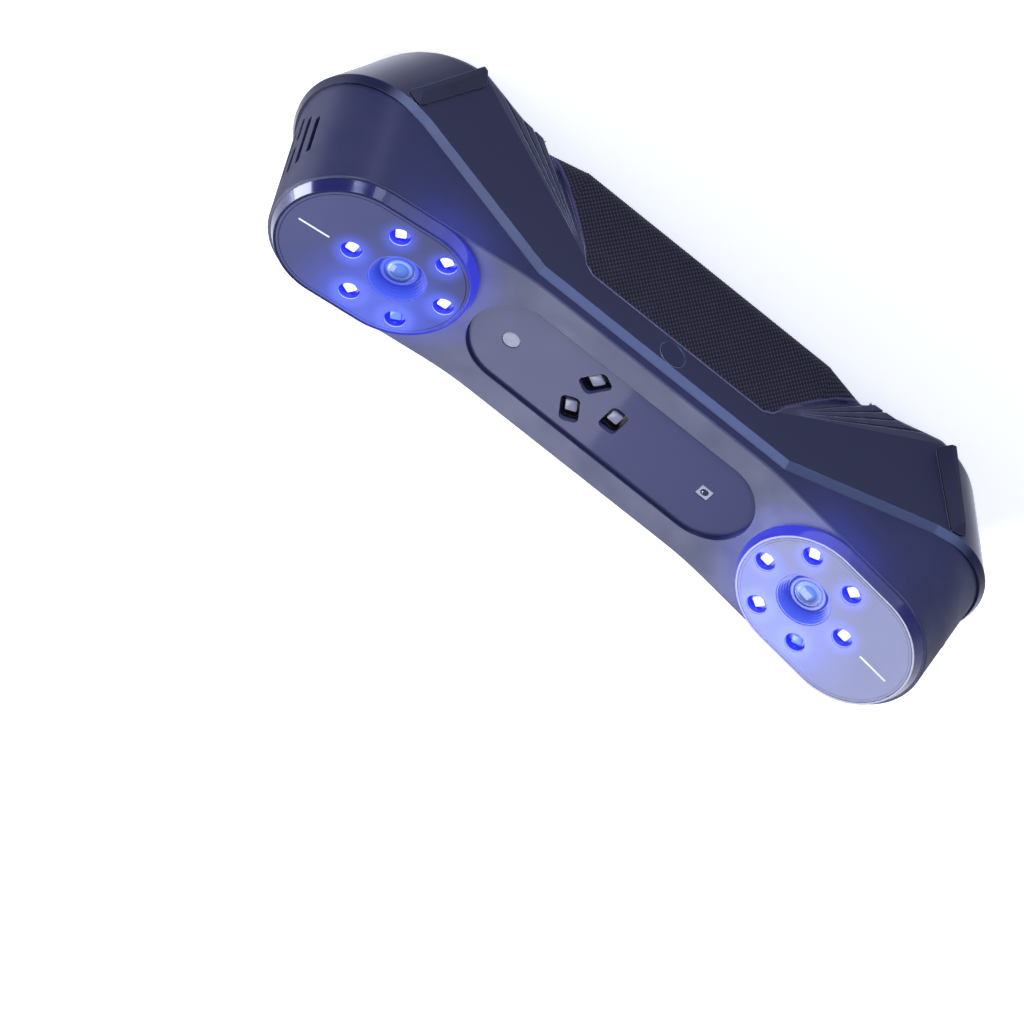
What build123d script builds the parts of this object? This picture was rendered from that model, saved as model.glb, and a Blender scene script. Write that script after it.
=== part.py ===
from build123d import *
import os
from math import atan, cos, degrees, radians, sin, tan

# A hand-held structured-light 3d scanner: two camera pods, a panel of three line projectors between
# them, a housing in two shells, a rubber grip sleeve round the waist and four rubber pads.
# The scanner lies on its back: +Z is the way it looks, X runs along it, and -Y is the flank with the
# round push button. Z = 0 is the surface under it. Millimetres and degrees.

os.makedirs("parts", exist_ok=True)

# ---------------------------------------------------------------- outside
half_length = 108.2           # middle to the end of the back shell at the parting face
waist_height = 51.8           # middle plate of the front shell above the table
flank_half_width = 22.1       # back shell, half its width
pod_setback = 43.7            # lens axis inward of the end, at the pod face
toe_in = 10.0                 # each pod leans towards the middle
face_rise = 7.6               # pod face above the middle plate, at the lens axis
face_stretch = 14.6           # from the lens axis out to the centre of the outer round end
face_margin = 2.0             # front shell left round a pod's face
bezel_height = 2.9            # pod face proud of the front shell
bezel_spread = 1.3            # how much wider the bezel is at its foot
rim_chamfer = 1.7             # ledge of the back shell round the front shell
rim_drop = 2.8                # parting face of the two shells below the middle plate
rim_bend_setback = 25.5       # lens axis in to where the parting face starts to fall
rim_slope = 21.6              # its fall over the lobes
rim_knee_reach = 17.5         # lens axis out to where the fall eases
rim_end_slope = 12.7          # its fall at the ends
lobe_lean = 25.0              # the end walls of the back lean in by this much
crest_setback = 14.5          # lens axis out to the flat lands that the scanner lies on
land_half = 5.0               # half the length of such a land
crest_radius = 26.0           # back of a lobe, outward of its land
back_slope = 16.5             # back of a lobe, from the land towards the middle
pinch_setback = 10.7          # lens axis in to where the lobe's back meets the grip
lobe_fillet = 3.6             # back edges of the lobes
front_fillet = 0.6            # front edges of the front shell
neck_round = 80.0             # middle plate into the slopes under the pods
shell_wall = 2.8              # back shell wall
front_wall = 2.2              # front shell wall

# ---------------------------------------------------------------- grip
grip_step = 0.3               # grip inside the back shell's flank
grip_back = 1.0               # back of the grip above the table
grip_slant = 14.0             # length of the slanting ends of its back
grip_round = 9.5              # its long back edges
sleeve_thickness = 1.2
sleeve_corners = (            # sleeve's edge: in from the pinch, down from the parting face
    (26.8, 10.5), (23.9, 12.4), (21.4, 18.0), (10.6, 32.8), (0.6, 41.8),
)
scoop_start = (23.3, 13.6)    # where the scoop beside the grip starts, counted the same way
scoop_end = (1.0, 4.7)        # where it runs out: in from the land, up from the table
scoop_depth = 1.8             # how far the scoop has drawn in at the pinch
scoop_ribs = 4                # grooves fanned over each scoop
rib_width = 1.1               # at the back edge
rib_depth = 0.4
rib_spread = 4.0              # degrees from one groove to the next
rib_start = 5.0
rib_reach = 56.0

# ---------------------------------------------------------------- pods
lamp_margin = 4.9             # ring of lamps inside the edge of the pod face
led_count = 6
led_window_radius = 2.75
lens_hole_radius = 7.4
window_thickness = 1.2
window_gap = 0.1              # play round the pod window and what stands in its holes
bezel_land = 0.6              # bezel left round the window, at the face
bezel_ledge = 1.1             # what the window rests on
spigot_step = 0.8             # skirt that sits in the front shell, inside the pod face's edge
spigot_depth = 5.6
spigot_gap = 0.15
led_board_margin = 0.3        # lamp board inside the skirt's outline
barrel_radius = 5.2
barrel_depth = 3.0            # front of the lens barrel below the pod face
barrel_length = 15.0
barrel_chamfer = 0.5
baffle_steps = 4
baffle_land = 0.3
baffle_step = 0.4             # each step of the baffle inward
baffle_drop = 0.8             # and down
baffle_depth = 8.0
glass_radius = 3.9
glass_thickness = 2.0
glass_dome = 12.0             # radius of the front face
holder_size = 16.0
holder_height = 8.0
holder_corner = 1.5
sensor_room = 12.0            # hollow of the holder over the image sensor
sensor_room_height = 3.6
sensor_size = 9.0
sensor_height = 1.0
camera_depth = 22.8           # front of the camera board below the pod face
camera_board_size = 30.0
camera_screw_margin = 2.5     # its screws in from its edges
board_thickness = 1.2
board_corner = 1.5
lens_flange = 0.3             # flange of a lamp lens, wide and thick
lamp_size = 2.8
lamp_height = 1.0

# ---------------------------------------------------------------- middle panel
panel_setback = 21.3          # end of the panel in from the lens axis
panel_margin = 7.6            # front shell left beside the panel
panel_recess = 1.0
panel_thickness = 1.4
panel_ledge = 1.5
panel_gap = 0.15
panel_rim = 1.8               # thickened shell round the panel
emitter_shift = 0.148         # middle of the three projectors, as a share of the half panel
emitter_margin = 6.2          # their circle inside the panel's edge
emitter_turns = ((180, 90), (300, 60), (60, 120))   # place on the circle, lie of the aperture
aperture_long, aperture_short = 1.21, 0.77   # apertures, for each mm of that circle's radius
aperture_round = 0.225        # their corners
aperture_step = 0.3           # each step inward below the panel
aperture_steps = 3
step_height = 0.8
emitter_depth = 2.4           # projector lens below the panel's face
lens_long, lens_short = 0.55, 0.5     # projector lenses, for each mm of the circle's radius
lens_chamfer = 0.3
laser_share = 0.59            # radius of a projector, likewise
block_wall = 0.8              # metal outside the projectors
foot_length, foot_height = 34.0, 3.0
foot_trim = 1.3               # foot narrower than the block, each side
emitter_screw_x = 14.4        # either side of the block
panel_board_trim = 6.7        # panel board shorter than the panel, each end
panel_board_wide = 1.2        # and wider, each side
panel_board_drop = 1.8        # panel board below the shell's inner face
sensor_setback = 10.9         # round pale window in from the panel's end
sensor_radius = 2.3
small_camera_setback = 13.8   # square colour camera in from the other end
small_camera_size = 3.5
camera_eye_radius = 1.1
sensor_skirt = 0.8
sight_depth = 0.2             # both end this far below the panel's face

# ---------------------------------------------------------------- inside
bench_thickness = 3.0
bench_gap = 0.6               # bench inside the front shell's wall
bench_inner = 18.0            # bench end plates, inward and outward of the lens axis
bench_outer = 23.0
bench_end_trim = 2.2          # end plates narrower than the middle, each side
bench_lap = 2.0               # middle plate run into the end plates
cavity_overlap = 10.0         # hollows run on past the parting face
boss_setback = 23.5           # screw bosses in from the lens axis
boss_margin = 2.6             # and in from the bench's edge
boss_radius = 3.6
screw_radius = 1.25
screw_gap = 0.15
screw_head_radius = 2.2
screw_head_height = 1.8
screw_seat = 8.0              # underside of the screw heads above the table
screw_reach = 12.0            # how far their holes go into the front shell
screw_bottom_gap = 0.6
screw_socket = 1.2
small_screw_radius = 0.8
small_head_radius = 1.5
small_head_height = 0.9
small_screw_bite = 2.0
board_setback = 29.5          # end of the main board in from the lens axis
main_board_width = 30.0
main_board_thickness = 1.6
spacer_height = 9.0
spacer_radius = 2.2
spacer_margin = (4.0, 3.0)    # spacers in from the board's ends and sides
chip_size = 14.0
chip_height = 1.6
chip_x = -8.0
memory_setback = 17.0         # memory chips in from the board's end
memory_y = 7.0
memory_size = (9.0, 11.0)
memory_height = 1.1
coil_size = 6.0
coil_height = 3.2
coil_pitch = (13.0, 8.0)
coil_rows = (4, 2)
pad_thickness = 0.6
sink_margin = 4.0             # heat sink's end from the spacers' middle
sink_width = 26.0
sink_base = 1.4
sink_height = 5.6
sink_fins = 9
fin_thickness = 1.0
ribbon_width = 8.0
ribbon_thickness = 0.3
ribbon_setback = 17.5         # ribbon's slot in the bench, in from the lens axis
ribbon_slot_width = 2.4
ribbon_slot_play = 1.0
ribbon_lift = 1.6
ribbon_bend = 3.0
ribbon_radius = 1.2

# ---------------------------------------------------------------- button and socket
button_drop = 5.7             # its axis below the parting face
button_radius = 3.6
button_gap = 0.08             # radial running fit
button_edge = 0.3
button_flange = 0.9           # flange wider than the cap
flange_thickness = 1.0
seat_gap = 0.3                # flange to the wall it would rest on
stem_radius = 1.6
stem_length = 0.3
switch_gap = 0.8              # stem to the switch, at rest
switch_size = 6.0
switch_body = 3.0
plunger_radius = 1.75
plunger_length = 0.7
button_board_width = 16.0
button_board_gap = 0.56       # its top edge below the panel board
socket_width = 9.0
socket_height = 3.4
socket_wall = 0.3
socket_length = 9.5
socket_corner = 1.3
socket_gap = 0.3
socket_recess = 0.4
tongue_size = (5.5, 6.6, 0.7)
tongue_setback = 1.2
socket_board_size = (15.0, 14.0)
socket_board_reach = 23.5     # middle of its board outward of the lens axis
socket_screw_place = (18.5, 5.0)

# ---------------------------------------------------------------- vents
vent_width = 1.5
vent_slots = (                # angle round the end wall, then start and end below the pod face
    (-19.0, 14.9, 28.1), (-9.5, 12.8, 30.3), (0.0, 12.0, 21.6),
    (0.0, 24.2, 32.6), (9.5, 12.8, 30.3), (19.0, 14.9, 28.1),
)
screen_thickness = 0.6
screen_half_angle = 26.0
screen_span = (10.5, 34.5)

# ---------------------------------------------------------------- rubber pads
pad_reach = 17.0              # middle of a pad outward of the lens axis
pad_lean = 27.5
pad_low, pad_high = 5.05, 3.4 # pad's ends above the table and below the parting face
pad_width = 4.8
pad_corner = 1.6
pad_base = 0.5                # base proud of the flank
pad_sink = 0.9                # base let into the flank
ridge_margin = 0.15           # base left round the ridge
ridge_slope = 2.4             # how wide its slope towards the middle of the scanner is
ridge_top = 1.5               # width of its flat top
ridge_heights = (3.0, 1.4)    # above the base, at the back and at the parting face
ridge_ends = (0.3, 2.7)       # how far its two ends slope in
ridge_round = 0.3

# ---------------------------------------------------------------- worked out from those
overrun = 6.0                 # forms run on past the ends before these are trimmed
clear = 60.0                  # tool bodies this long pass right through
slack = 1.0                   # tool bodies start this far outside what they cut
lens_x = half_length - pod_setback
reach = half_length + overrun
face_height = waist_height + face_rise
front_half_width = flank_half_width - rim_chamfer
face_radius = front_half_width - face_margin
rim_height = waist_height - rim_drop
rim_bend = lens_x - rim_bend_setback
rim_knee = lens_x + rim_knee_reach
rim_knee_z = rim_height - (rim_knee - rim_bend) * tan(radians(rim_slope))
rim_end_z = rim_knee_z - (half_length - rim_knee) * tan(radians(rim_end_slope))
crest_in = lens_x + crest_setback - land_half
crest_out = crest_in + 2 * land_half
pinch_x = lens_x - pinch_setback
pinch_z = (crest_in - pinch_x) * tan(radians(back_slope))
grip_half_width = flank_half_width - grip_step
grip_flat = pinch_x - grip_slant
front_inner_z = waist_height - front_wall
panel_z = waist_height - panel_recess
panel_under_z = panel_z - panel_thickness
panel_board_z = front_inner_z - panel_board_drop
panel_half_length = lens_x - panel_setback
panel_half_width = front_half_width - panel_margin
led_ring_radius = face_radius - lamp_margin
spigot_radius = face_radius - spigot_step
baffle_flange = (led_ring_radius - led_window_radius - lens_flange - lens_hole_radius) / 2
camera_screw_pitch = camera_board_size - 2 * camera_screw_margin
emitter_centre = emitter_shift * panel_half_length
emitter_radius = panel_half_width - emitter_margin
laser_radius = laser_share * emitter_radius
emitter_block_radius = emitter_radius + laser_radius + block_wall
sensor_x = panel_half_length - sensor_setback
small_camera_x = small_camera_setback - panel_half_length
bench_depth = camera_depth + board_thickness
bench_z = face_height - bench_inner * sin(radians(toe_in)) - bench_depth * cos(radians(toe_in))
bench_under_z = bench_z - bench_thickness
bench_half_width = front_half_width - front_wall - bench_gap
main_board_z = bench_under_z - spacer_height
main_board_half = lens_x - board_setback
ribbon_slot_x = lens_x - ribbon_setback
flank_inner = flank_half_width - shell_wall
switch_face = flank_inner - seat_gap - flange_thickness - stem_length - switch_gap
button_height = rim_height - button_drop
pad_x = lens_x + pad_reach
pad_z = (rim_knee_z - pad_high + pad_low) / 2
pad_length = (rim_knee_z - pad_high - pad_low) / cos(radians(pad_lean))


def on_grip_side(spot):
    """A place counted in from the pinch and down from the parting face, as x and z."""
    return pinch_x - spot[0], rim_height - spot[1]


def pod_plane(side, depth=0.0):
    """Plane of a pod face, moved back by depth: local x runs outward, local z looks out."""
    lean = radians(toe_in)
    looking = Vector(-side * sin(lean), 0, cos(lean))
    outward = Vector(side * cos(lean), 0, sin(lean))
    on_face = Vector(side * lens_x, 0, face_height)
    return Plane(origin=on_face - looking * depth, x_dir=outward, z_dir=looking)


def lens_axis(side):
    """A pod's lens axis, from the face outward."""
    face = pod_plane(side)
    return Axis(face.origin, face.z_dir)


def axis_section(side):
    """Plane through a pod's lens axis: local x is the radius, local y looks out."""
    face = pod_plane(side)
    return Plane(origin=face.origin, x_dir=face.x_dir, z_dir=face.x_dir.cross(face.z_dir))


def socket_plane():
    """Plane on the left end wall where the cable socket opens, local z out of the wall."""
    pod = pod_plane(-1, camera_depth - socket_height / 2)
    origin = pod.from_local_coords((face_stretch + front_half_width, 0, 0))
    return Plane(origin=origin, x_dir=pod.y_dir, z_dir=pod.x_dir)


def plus_minus(x, y):
    """The four places that mirror this one across both axes."""
    return [(side_x * x, side_y * y) for side_x in (1, -1) for side_y in (1, -1)]


def screw_spots():
    """Where the four housing screws stand, seen from the front."""
    return plus_minus(lens_x - boss_setback, bench_half_width - boss_margin)


def spacer_spots():
    """Where the main board's spacers stand."""
    return plus_minus(main_board_half - spacer_margin[0], main_board_width / 2 - spacer_margin[1])


def socket_screw_spots():
    """Screws of the socket board, in the left pod's own plane."""
    return [(socket_screw_place[0], y * socket_screw_place[1]) for y in (1, -1)]


def emitter_spots():
    """Where the three projectors stand."""
    return [
        (emitter_centre + emitter_radius * cos(radians(turn)), emitter_radius * sin(radians(turn)))
        for turn, lie in emitter_turns
    ]


def emitter_screw_spots():
    """Screws through the projector block's foot."""
    return [(emitter_centre + x, 0) for x in (emitter_screw_x, -emitter_screw_x)]


def aperture_faces(inset, mode=Mode.ADD):
    """The three projector apertures, shrunk by inset, in the sketch being built."""
    long_side, short_side = (
        share * emitter_radius - 2 * inset for share in (aperture_long, aperture_short)
    )
    corner = aperture_round * emitter_radius - inset
    for (turn, lie), spot in zip(emitter_turns, emitter_spots()):
        with Locations(spot):
            RectangleRounded(long_side, short_side, corner, rotation=lie, mode=mode)


def lobe_plane(side):
    """Plane square to a back lobe's end wall, with its origin at the end of the parting face."""
    lean = radians(lobe_lean)
    return Plane(
        origin=Vector(side * half_length, 0, rim_end_z),
        x_dir=Vector(side * cos(lean), 0, -sin(lean)),
        z_dir=Vector(side * sin(lean), 0, cos(lean)),
    )


def across(points):
    """A chain of points from the right end to the middle, then its mirror image to the left end."""
    return list(points) + [(-x, z) for x, z in reversed(points)]


def rim_chain(shift=0.0):
    """The parting face in side view, raised by shift."""
    end_z = rim_end_z - overrun * tan(radians(rim_end_slope))
    half = [(reach, end_z), (rim_knee, rim_knee_z), (rim_bend, rim_height)]
    return across([(x, z + shift) for x, z in half])


def slot_face(radius, stretch=face_stretch):
    """Two round ends, one on the lens axis and one further out, in the sketch being built."""
    with Locations((stretch / 2, 0)):
        SlotCenterToCenter(stretch, 2 * radius)


def end_trim(plane, centre, radius):
    """Keeps the part being built inside a wall that is round about centre on this plane."""
    with BuildSketch(plane) as kept:
        with Locations((centre - reach, 0)):
            Rectangle(2 * reach, 2 * radius)
        with Locations((centre, 0)):
            Circle(radius)
    extrude(kept.sketch, amount=2 * clear, both=True, mode=Mode.INTERSECT)


def front_form(inset=0.0, drop=0.0):
    """Outer form of the front shell, shrunk by inset, with its parting face lowered by drop."""
    lean = radians(toe_in)
    shell_z = face_height - bezel_height / cos(lean)
    bend_x = lens_x - (shell_z - waist_height) / tan(lean)
    front = across([(reach, waist_height + (reach - bend_x) * tan(lean)), (bend_x, waist_height)])
    half_width = front_half_width - inset
    with BuildPart() as form:
        with BuildSketch(Plane.XZ):
            with BuildLine():
                Polyline(*rim_chain(-drop), *reversed(front), close=True)
            make_face()
            if inset:
                offset(amount=-inset, kind=Kind.INTERSECTION)
        extrude(amount=half_width, both=True)
        for side in (1, -1):
            end_trim(pod_plane(side), face_stretch, half_width)
    return form.part


def scoop_plane(side_x, side_y, inset=0.0):
    """Plane of the scoop between the grip and a lobe's flank, facing out of the body."""
    start_x, start_z = on_grip_side(scoop_start)
    on_start = Vector(side_x * start_x, side_y * flank_half_width, start_z)
    on_end = Vector(side_x * (crest_in - scoop_end[0]), side_y * flank_half_width, scoop_end[1])
    at_pinch = Vector(side_x * pinch_x, side_y * (flank_half_width - scoop_depth), pinch_z)
    along = (on_end - on_start).normalized()
    outward = along.cross(at_pinch - on_start).normalized()
    if outward.Y * side_y < 0:
        outward = -outward
    return Plane(origin=on_start - outward * inset, x_dir=along, z_dir=outward)


def lobe_form(inset=0.0, lift=0.0):
    """Outer form of the back shell without the grip, shrunk by inset, its parting face raised by lift."""
    half_width = flank_half_width - inset
    arc_end = (crest_out + crest_radius * sin(radians(60)), crest_radius * (1 - cos(radians(60))))
    with BuildPart() as form:
        with BuildSketch(Plane.XZ):
            with BuildLine():
                chain = rim_chain(lift)
                Polyline(*chain)
                for side in (1, -1):
                    end = (side * arc_end[0], arc_end[1])
                    Polyline((side * reach, chain[0][1]), (side * reach, arc_end[1]), end)
                    RadiusArc(end, (side * crest_out, 0), side * crest_radius)
                    Polyline((side * crest_out, 0), (side * crest_in, 0), (side * pinch_x, pinch_z))
                Line((pinch_x, pinch_z), (-pinch_x, pinch_z))
            make_face()
            if inset:
                offset(amount=-inset, kind=Kind.INTERSECTION)
        extrude(amount=half_width, both=True)
        for side in (1, -1):
            end_trim(lobe_plane(side), -flank_half_width, half_width)
        for side_x in (1, -1):
            for side_y in (1, -1):
                with BuildSketch(scoop_plane(side_x, side_y, inset)) as scoop:
                    Rectangle(reach, reach, align=(Align.MIN, Align.CENTER))
                extrude(scoop.sketch, amount=clear, mode=Mode.SUBTRACT)
    return form.part


def grip_block(inset=0.0):
    """A block with the grip's rounded back, shrunk by inset."""
    slope = (pinch_z - grip_back) / (pinch_x - grip_flat)
    wing_x = pinch_x + overrun
    wing_z = grip_back + slope * (wing_x - grip_flat)
    half_width = grip_half_width - inset
    with BuildPart() as block:
        with BuildSketch(Plane.XZ):
            with BuildLine():
                Polyline(
                    *across([(wing_x, rim_height), (wing_x, wing_z), (grip_flat, grip_back)]), close=True
                )
            make_face()
            if inset:
                offset(amount=-inset, kind=Kind.INTERSECTION)
        extrude(amount=half_width, both=True)
        low = block.edges().filter_by(lambda e: abs(e.center().Y) > half_width - 0.01)
        fillet(low.filter_by(lambda e: e.center().Z < rim_height / 2), radius=grip_round - inset)
    return block.part


def sleeve_prism(inset=0.0):
    """The grip sleeve's outline in side view, right through, shrunk by inset."""
    edge = [on_grip_side(spot) for spot in reversed(sleeve_corners)]
    foot = (edge[0][0], -overrun)
    with BuildPart() as prism:
        with BuildSketch(Plane.XZ):
            with BuildLine():
                Polyline(*across([foot, *edge]), close=True)
            make_face()
            if inset:
                offset(amount=-inset, kind=Kind.INTERSECTION)
        extrude(amount=clear, both=True)
    return prism.part


def keep(name, builder):
    """Labels a finished part and writes it."""
    builder.part.label = name
    export_step(builder.part, f"parts/{name}.step")


# ---------------------------------------------------------------- grip_sleeve
with BuildPart() as grip_sleeve:
    add(grip_block())
    add(grip_block(sleeve_thickness), mode=Mode.SUBTRACT)
    add(sleeve_prism(), mode=Mode.INTERSECT)
keep("grip_sleeve", grip_sleeve)

# ---------------------------------------------------------------- back_shell
with BuildPart() as grip_core:
    add(grip_block())
    add(sleeve_prism(), mode=Mode.INTERSECT)

with BuildPart() as sleeve_recess:
    add(sleeve_prism())
    add(grip_block(sleeve_thickness), mode=Mode.SUBTRACT)

with BuildPart() as grip_cavity:
    add(grip_block(shell_wall))
    add(sleeve_prism(shell_wall), mode=Mode.INTERSECT)


def is_crosswise(edge):
    """True for a straight edge that runs across the scanner."""
    return edge.geom_type == GeomType.LINE and abs((edge % 0.5).Y) > 0.99


def on_rim(edge):
    """True for the long outer edges of the parting face."""
    middle = edge @ 0.5
    bend_drop = max(0.0, abs(middle.X) - rim_bend) * tan(radians(rim_slope))
    easing = tan(radians(rim_slope)) - tan(radians(rim_end_slope))
    rim_z = rim_height - bend_drop + max(0.0, abs(middle.X) - rim_knee) * easing
    return abs(middle.Z - rim_z) < 0.05 and not is_crosswise(edge)


def on_lobe_back(edge):
    """True for the edges between a lobe's flank, scoop or end wall and its back."""
    middle = edge @ 0.5
    steep = abs((edge % 0.5).Z) > 0.6
    return middle.Z < pinch_z - 0.1 and abs(middle.X) > pinch_x and not steep and not is_crosswise(edge)


def pad_planes():
    """The four rubber pads: name, and a plane on the flank with local x along the pad."""
    lean = radians(pad_lean)
    for side_x, end_name in ((1, "right"), (-1, "left")):
        for side_y, flank_name in ((-1, "button_side"), (1, "plain_side")):
            plane = Plane(
                origin=Vector(side_x * pad_x, side_y * flank_half_width, pad_z),
                x_dir=Vector(side_x * sin(lean), 0, cos(lean)),
                z_dir=Vector(0, side_y, 0),
            )
            yield f"pad_{end_name}_{flank_name}", plane


with BuildPart() as back_cavity:
    add(lobe_form(shell_wall, cavity_overlap))
    add(grip_cavity.part)
    with Locations(*[(x, y, 0) for x, y in screw_spots()]):
        Cylinder(
            boss_radius, bench_under_z,
            align=(Align.CENTER, Align.CENTER, Align.MIN), mode=Mode.SUBTRACT,
        )

with BuildPart() as back_shell:
    add(lobe_form())
    fillet(back_shell.edges().filter_by(on_lobe_back), radius=lobe_fillet)
    chamfer(back_shell.edges().filter_by(on_rim), length=rim_chamfer)
    for side_x in (1, -1):
        for side_y in (1, -1):
            toward_pinch = side_x * side_y
            with BuildSketch(scoop_plane(side_x, side_y)) as grooves:
                for rib in range(scoop_ribs):
                    angle = toward_pinch * (rib + 1) * rib_spread
                    with BuildLine():
                        tip = Vector(rib_start, 0).rotate(Axis.Z, angle)
                        end = Vector(rib_reach, 0).rotate(Axis.Z, angle)
                        half = Vector(0, rib_width / 2).rotate(Axis.Z, angle)
                        Polyline(tip, end + half, end - half, close=True)
                    make_face()
            extrude(grooves.sketch, amount=rib_depth, both=True, mode=Mode.SUBTRACT)
    add(grip_core.part)
    add(sleeve_recess.part, mode=Mode.SUBTRACT)
    add(back_cavity.part, mode=Mode.SUBTRACT)
    for pad_name, plane in pad_planes():
        with BuildSketch(plane) as pad_foot:
            RectangleRounded(pad_length, pad_width, pad_corner)
        extrude(pad_foot.sketch, amount=pad_sink, both=True, mode=Mode.SUBTRACT)
    with Locations(*[(x, y, screw_seat) for x, y in screw_spots()]):
        Cylinder(
            screw_head_radius + screw_gap, screw_seat,
            align=(Align.CENTER, Align.CENTER, Align.MAX), mode=Mode.SUBTRACT,
        )
        Cylinder(
            screw_radius + screw_gap, bench_under_z,
            align=(Align.CENTER, Align.CENTER, Align.MIN), mode=Mode.SUBTRACT,
        )
    with BuildSketch(Plane.XZ.offset(flank_inner - slack)) as bore:
        with Locations((0, button_height)):
            Circle(button_radius + button_gap)
    extrude(bore.sketch, amount=shell_wall + 2 * slack, mode=Mode.SUBTRACT)
keep("back_shell", back_shell)

# ---------------------------------------------------------------- front_shell
with BuildPart() as front_cavity:
    add(front_form(front_wall, cavity_overlap))
    with BuildSketch(Plane.XY.offset(panel_board_z)) as pad_over:
        SlotOverall(2 * (panel_half_length + panel_rim), 2 * (panel_half_width + panel_rim))
    extrude(pad_over.sketch, amount=clear, mode=Mode.SUBTRACT)
    with Locations(*[(x, y, bench_z) for x, y in screw_spots()]):
        Cylinder(boss_radius, clear, align=(Align.CENTER, Align.CENTER, Align.MIN), mode=Mode.SUBTRACT)

with BuildPart() as front_shell:
    add(front_form())
    necks = front_shell.edges().filter_by(is_crosswise)
    fillet(necks.filter_by(lambda e: abs((e @ 0.5).Z - waist_height) < 0.1), radius=neck_round)
    front_edges = front_shell.edges().filter_by(lambda e: (e @ 0.5).Z > waist_height - 0.1)
    fillet(front_edges.filter_by(lambda e: not is_crosswise(e)), radius=front_fillet)
    add(front_cavity.part, mode=Mode.SUBTRACT)
    with BuildSketch(Plane.XY.offset(panel_under_z)) as pocket:
        SlotOverall(2 * panel_half_length, 2 * panel_half_width)
    extrude(pocket.sketch, amount=clear, mode=Mode.SUBTRACT)
    with BuildSketch(Plane.XY.offset(panel_board_z - slack)) as opening:
        SlotOverall(2 * (panel_half_length - panel_ledge), 2 * (panel_half_width - panel_ledge))
    extrude(opening.sketch, amount=clear, mode=Mode.SUBTRACT)
    for side in (1, -1):
        with BuildSketch(pod_plane(side)) as pod_hole:
            slot_face(spigot_radius + spigot_gap)
        extrude(pod_hole.sketch, amount=-(bezel_height + 2 * front_wall), mode=Mode.SUBTRACT)
    with Locations(*[(x, y, bench_z) for x, y in screw_spots()]):
        Cylinder(
            screw_radius + button_gap, screw_reach,
            align=(Align.CENTER, Align.CENTER, Align.MIN), mode=Mode.SUBTRACT,
        )
    wall_plane = pod_plane(1)
    for angle, start, end in vent_slots:
        out = wall_plane.x_dir * cos(radians(angle)) + wall_plane.y_dir * sin(radians(angle))
        on_axis = wall_plane.from_local_coords((face_stretch, 0, -(start + end) / 2))
        middle = on_axis + out * front_half_width
        with BuildSketch(Plane(origin=middle, x_dir=wall_plane.z_dir, z_dir=out)) as vent:
            SlotOverall(end - start, vent_width)
        extrude(vent.sketch, amount=front_wall + slack, both=True, mode=Mode.SUBTRACT)
    with BuildSketch(socket_plane()) as socket_hole:
        RectangleRounded(socket_width + 2 * socket_gap, socket_height + 2 * socket_gap, socket_corner)
    extrude(socket_hole.sketch, amount=front_wall + slack, both=True, mode=Mode.SUBTRACT)
keep("front_shell", front_shell)

# ---------------------------------------------------------------- rubber pads on the flanks
def ridge_corners(start, end, inner, outer, facing):
    """Corners of a section through a pad's ridge; inner and outer count towards the middle."""
    return [(start, facing * outer), (start, facing * inner), (end, facing * inner), (end, facing * outer)]


for pad_name, plane in pad_planes():
    facing = -1 if plane.origin.X * plane.origin.Y > 0 else 1
    half = pad_length / 2 - ridge_margin
    side_edge = pad_width / 2 - ridge_margin
    top_start, top_end = ridge_ends[0] - half, half - ridge_ends[1]
    with BuildPart() as pad:
        with BuildSketch(plane.offset(-pad_sink)):
            RectangleRounded(pad_length, pad_width, pad_corner)
        extrude(amount=pad_sink + pad_base)
        fall = atan((ridge_heights[0] - ridge_heights[1]) / (top_end - top_start))
        top_plane = Plane(
            origin=plane.from_local_coords((top_start, 0, pad_base + ridge_heights[0])),
            x_dir=plane.x_dir * cos(fall) - plane.z_dir * sin(fall),
            z_dir=plane.z_dir * cos(fall) + plane.x_dir * sin(fall),
        )
        with BuildSketch(plane.offset(pad_base)) as ridge_foot:
            Polygon(*ridge_corners(-half, half, side_edge, -side_edge, facing), align=None)
        with BuildSketch(top_plane) as ridge_roof:
            top_length = (top_end - top_start) / cos(fall)
            inner = side_edge - ridge_slope
            Polygon(*ridge_corners(0, top_length, inner, inner - ridge_top, facing), align=None)
        loft(sections=[ridge_foot.sketch.face(), ridge_roof.sketch.face()], ruled=True)
        roof_edges = pad.edges().filter_by(
            lambda e: plane.to_local_coords(e @ 0.5).Z > pad_base + ridge_heights[1] / 3
        )
        fillet(roof_edges, radius=ridge_round)
    keep(pad_name, pad)

# ---------------------------------------------------------------- camera pods
def on_lamp_ring():
    """The places of the lamps round the lens, in the sketch or part being built."""
    return PolarLocations(led_ring_radius, led_count)


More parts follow.
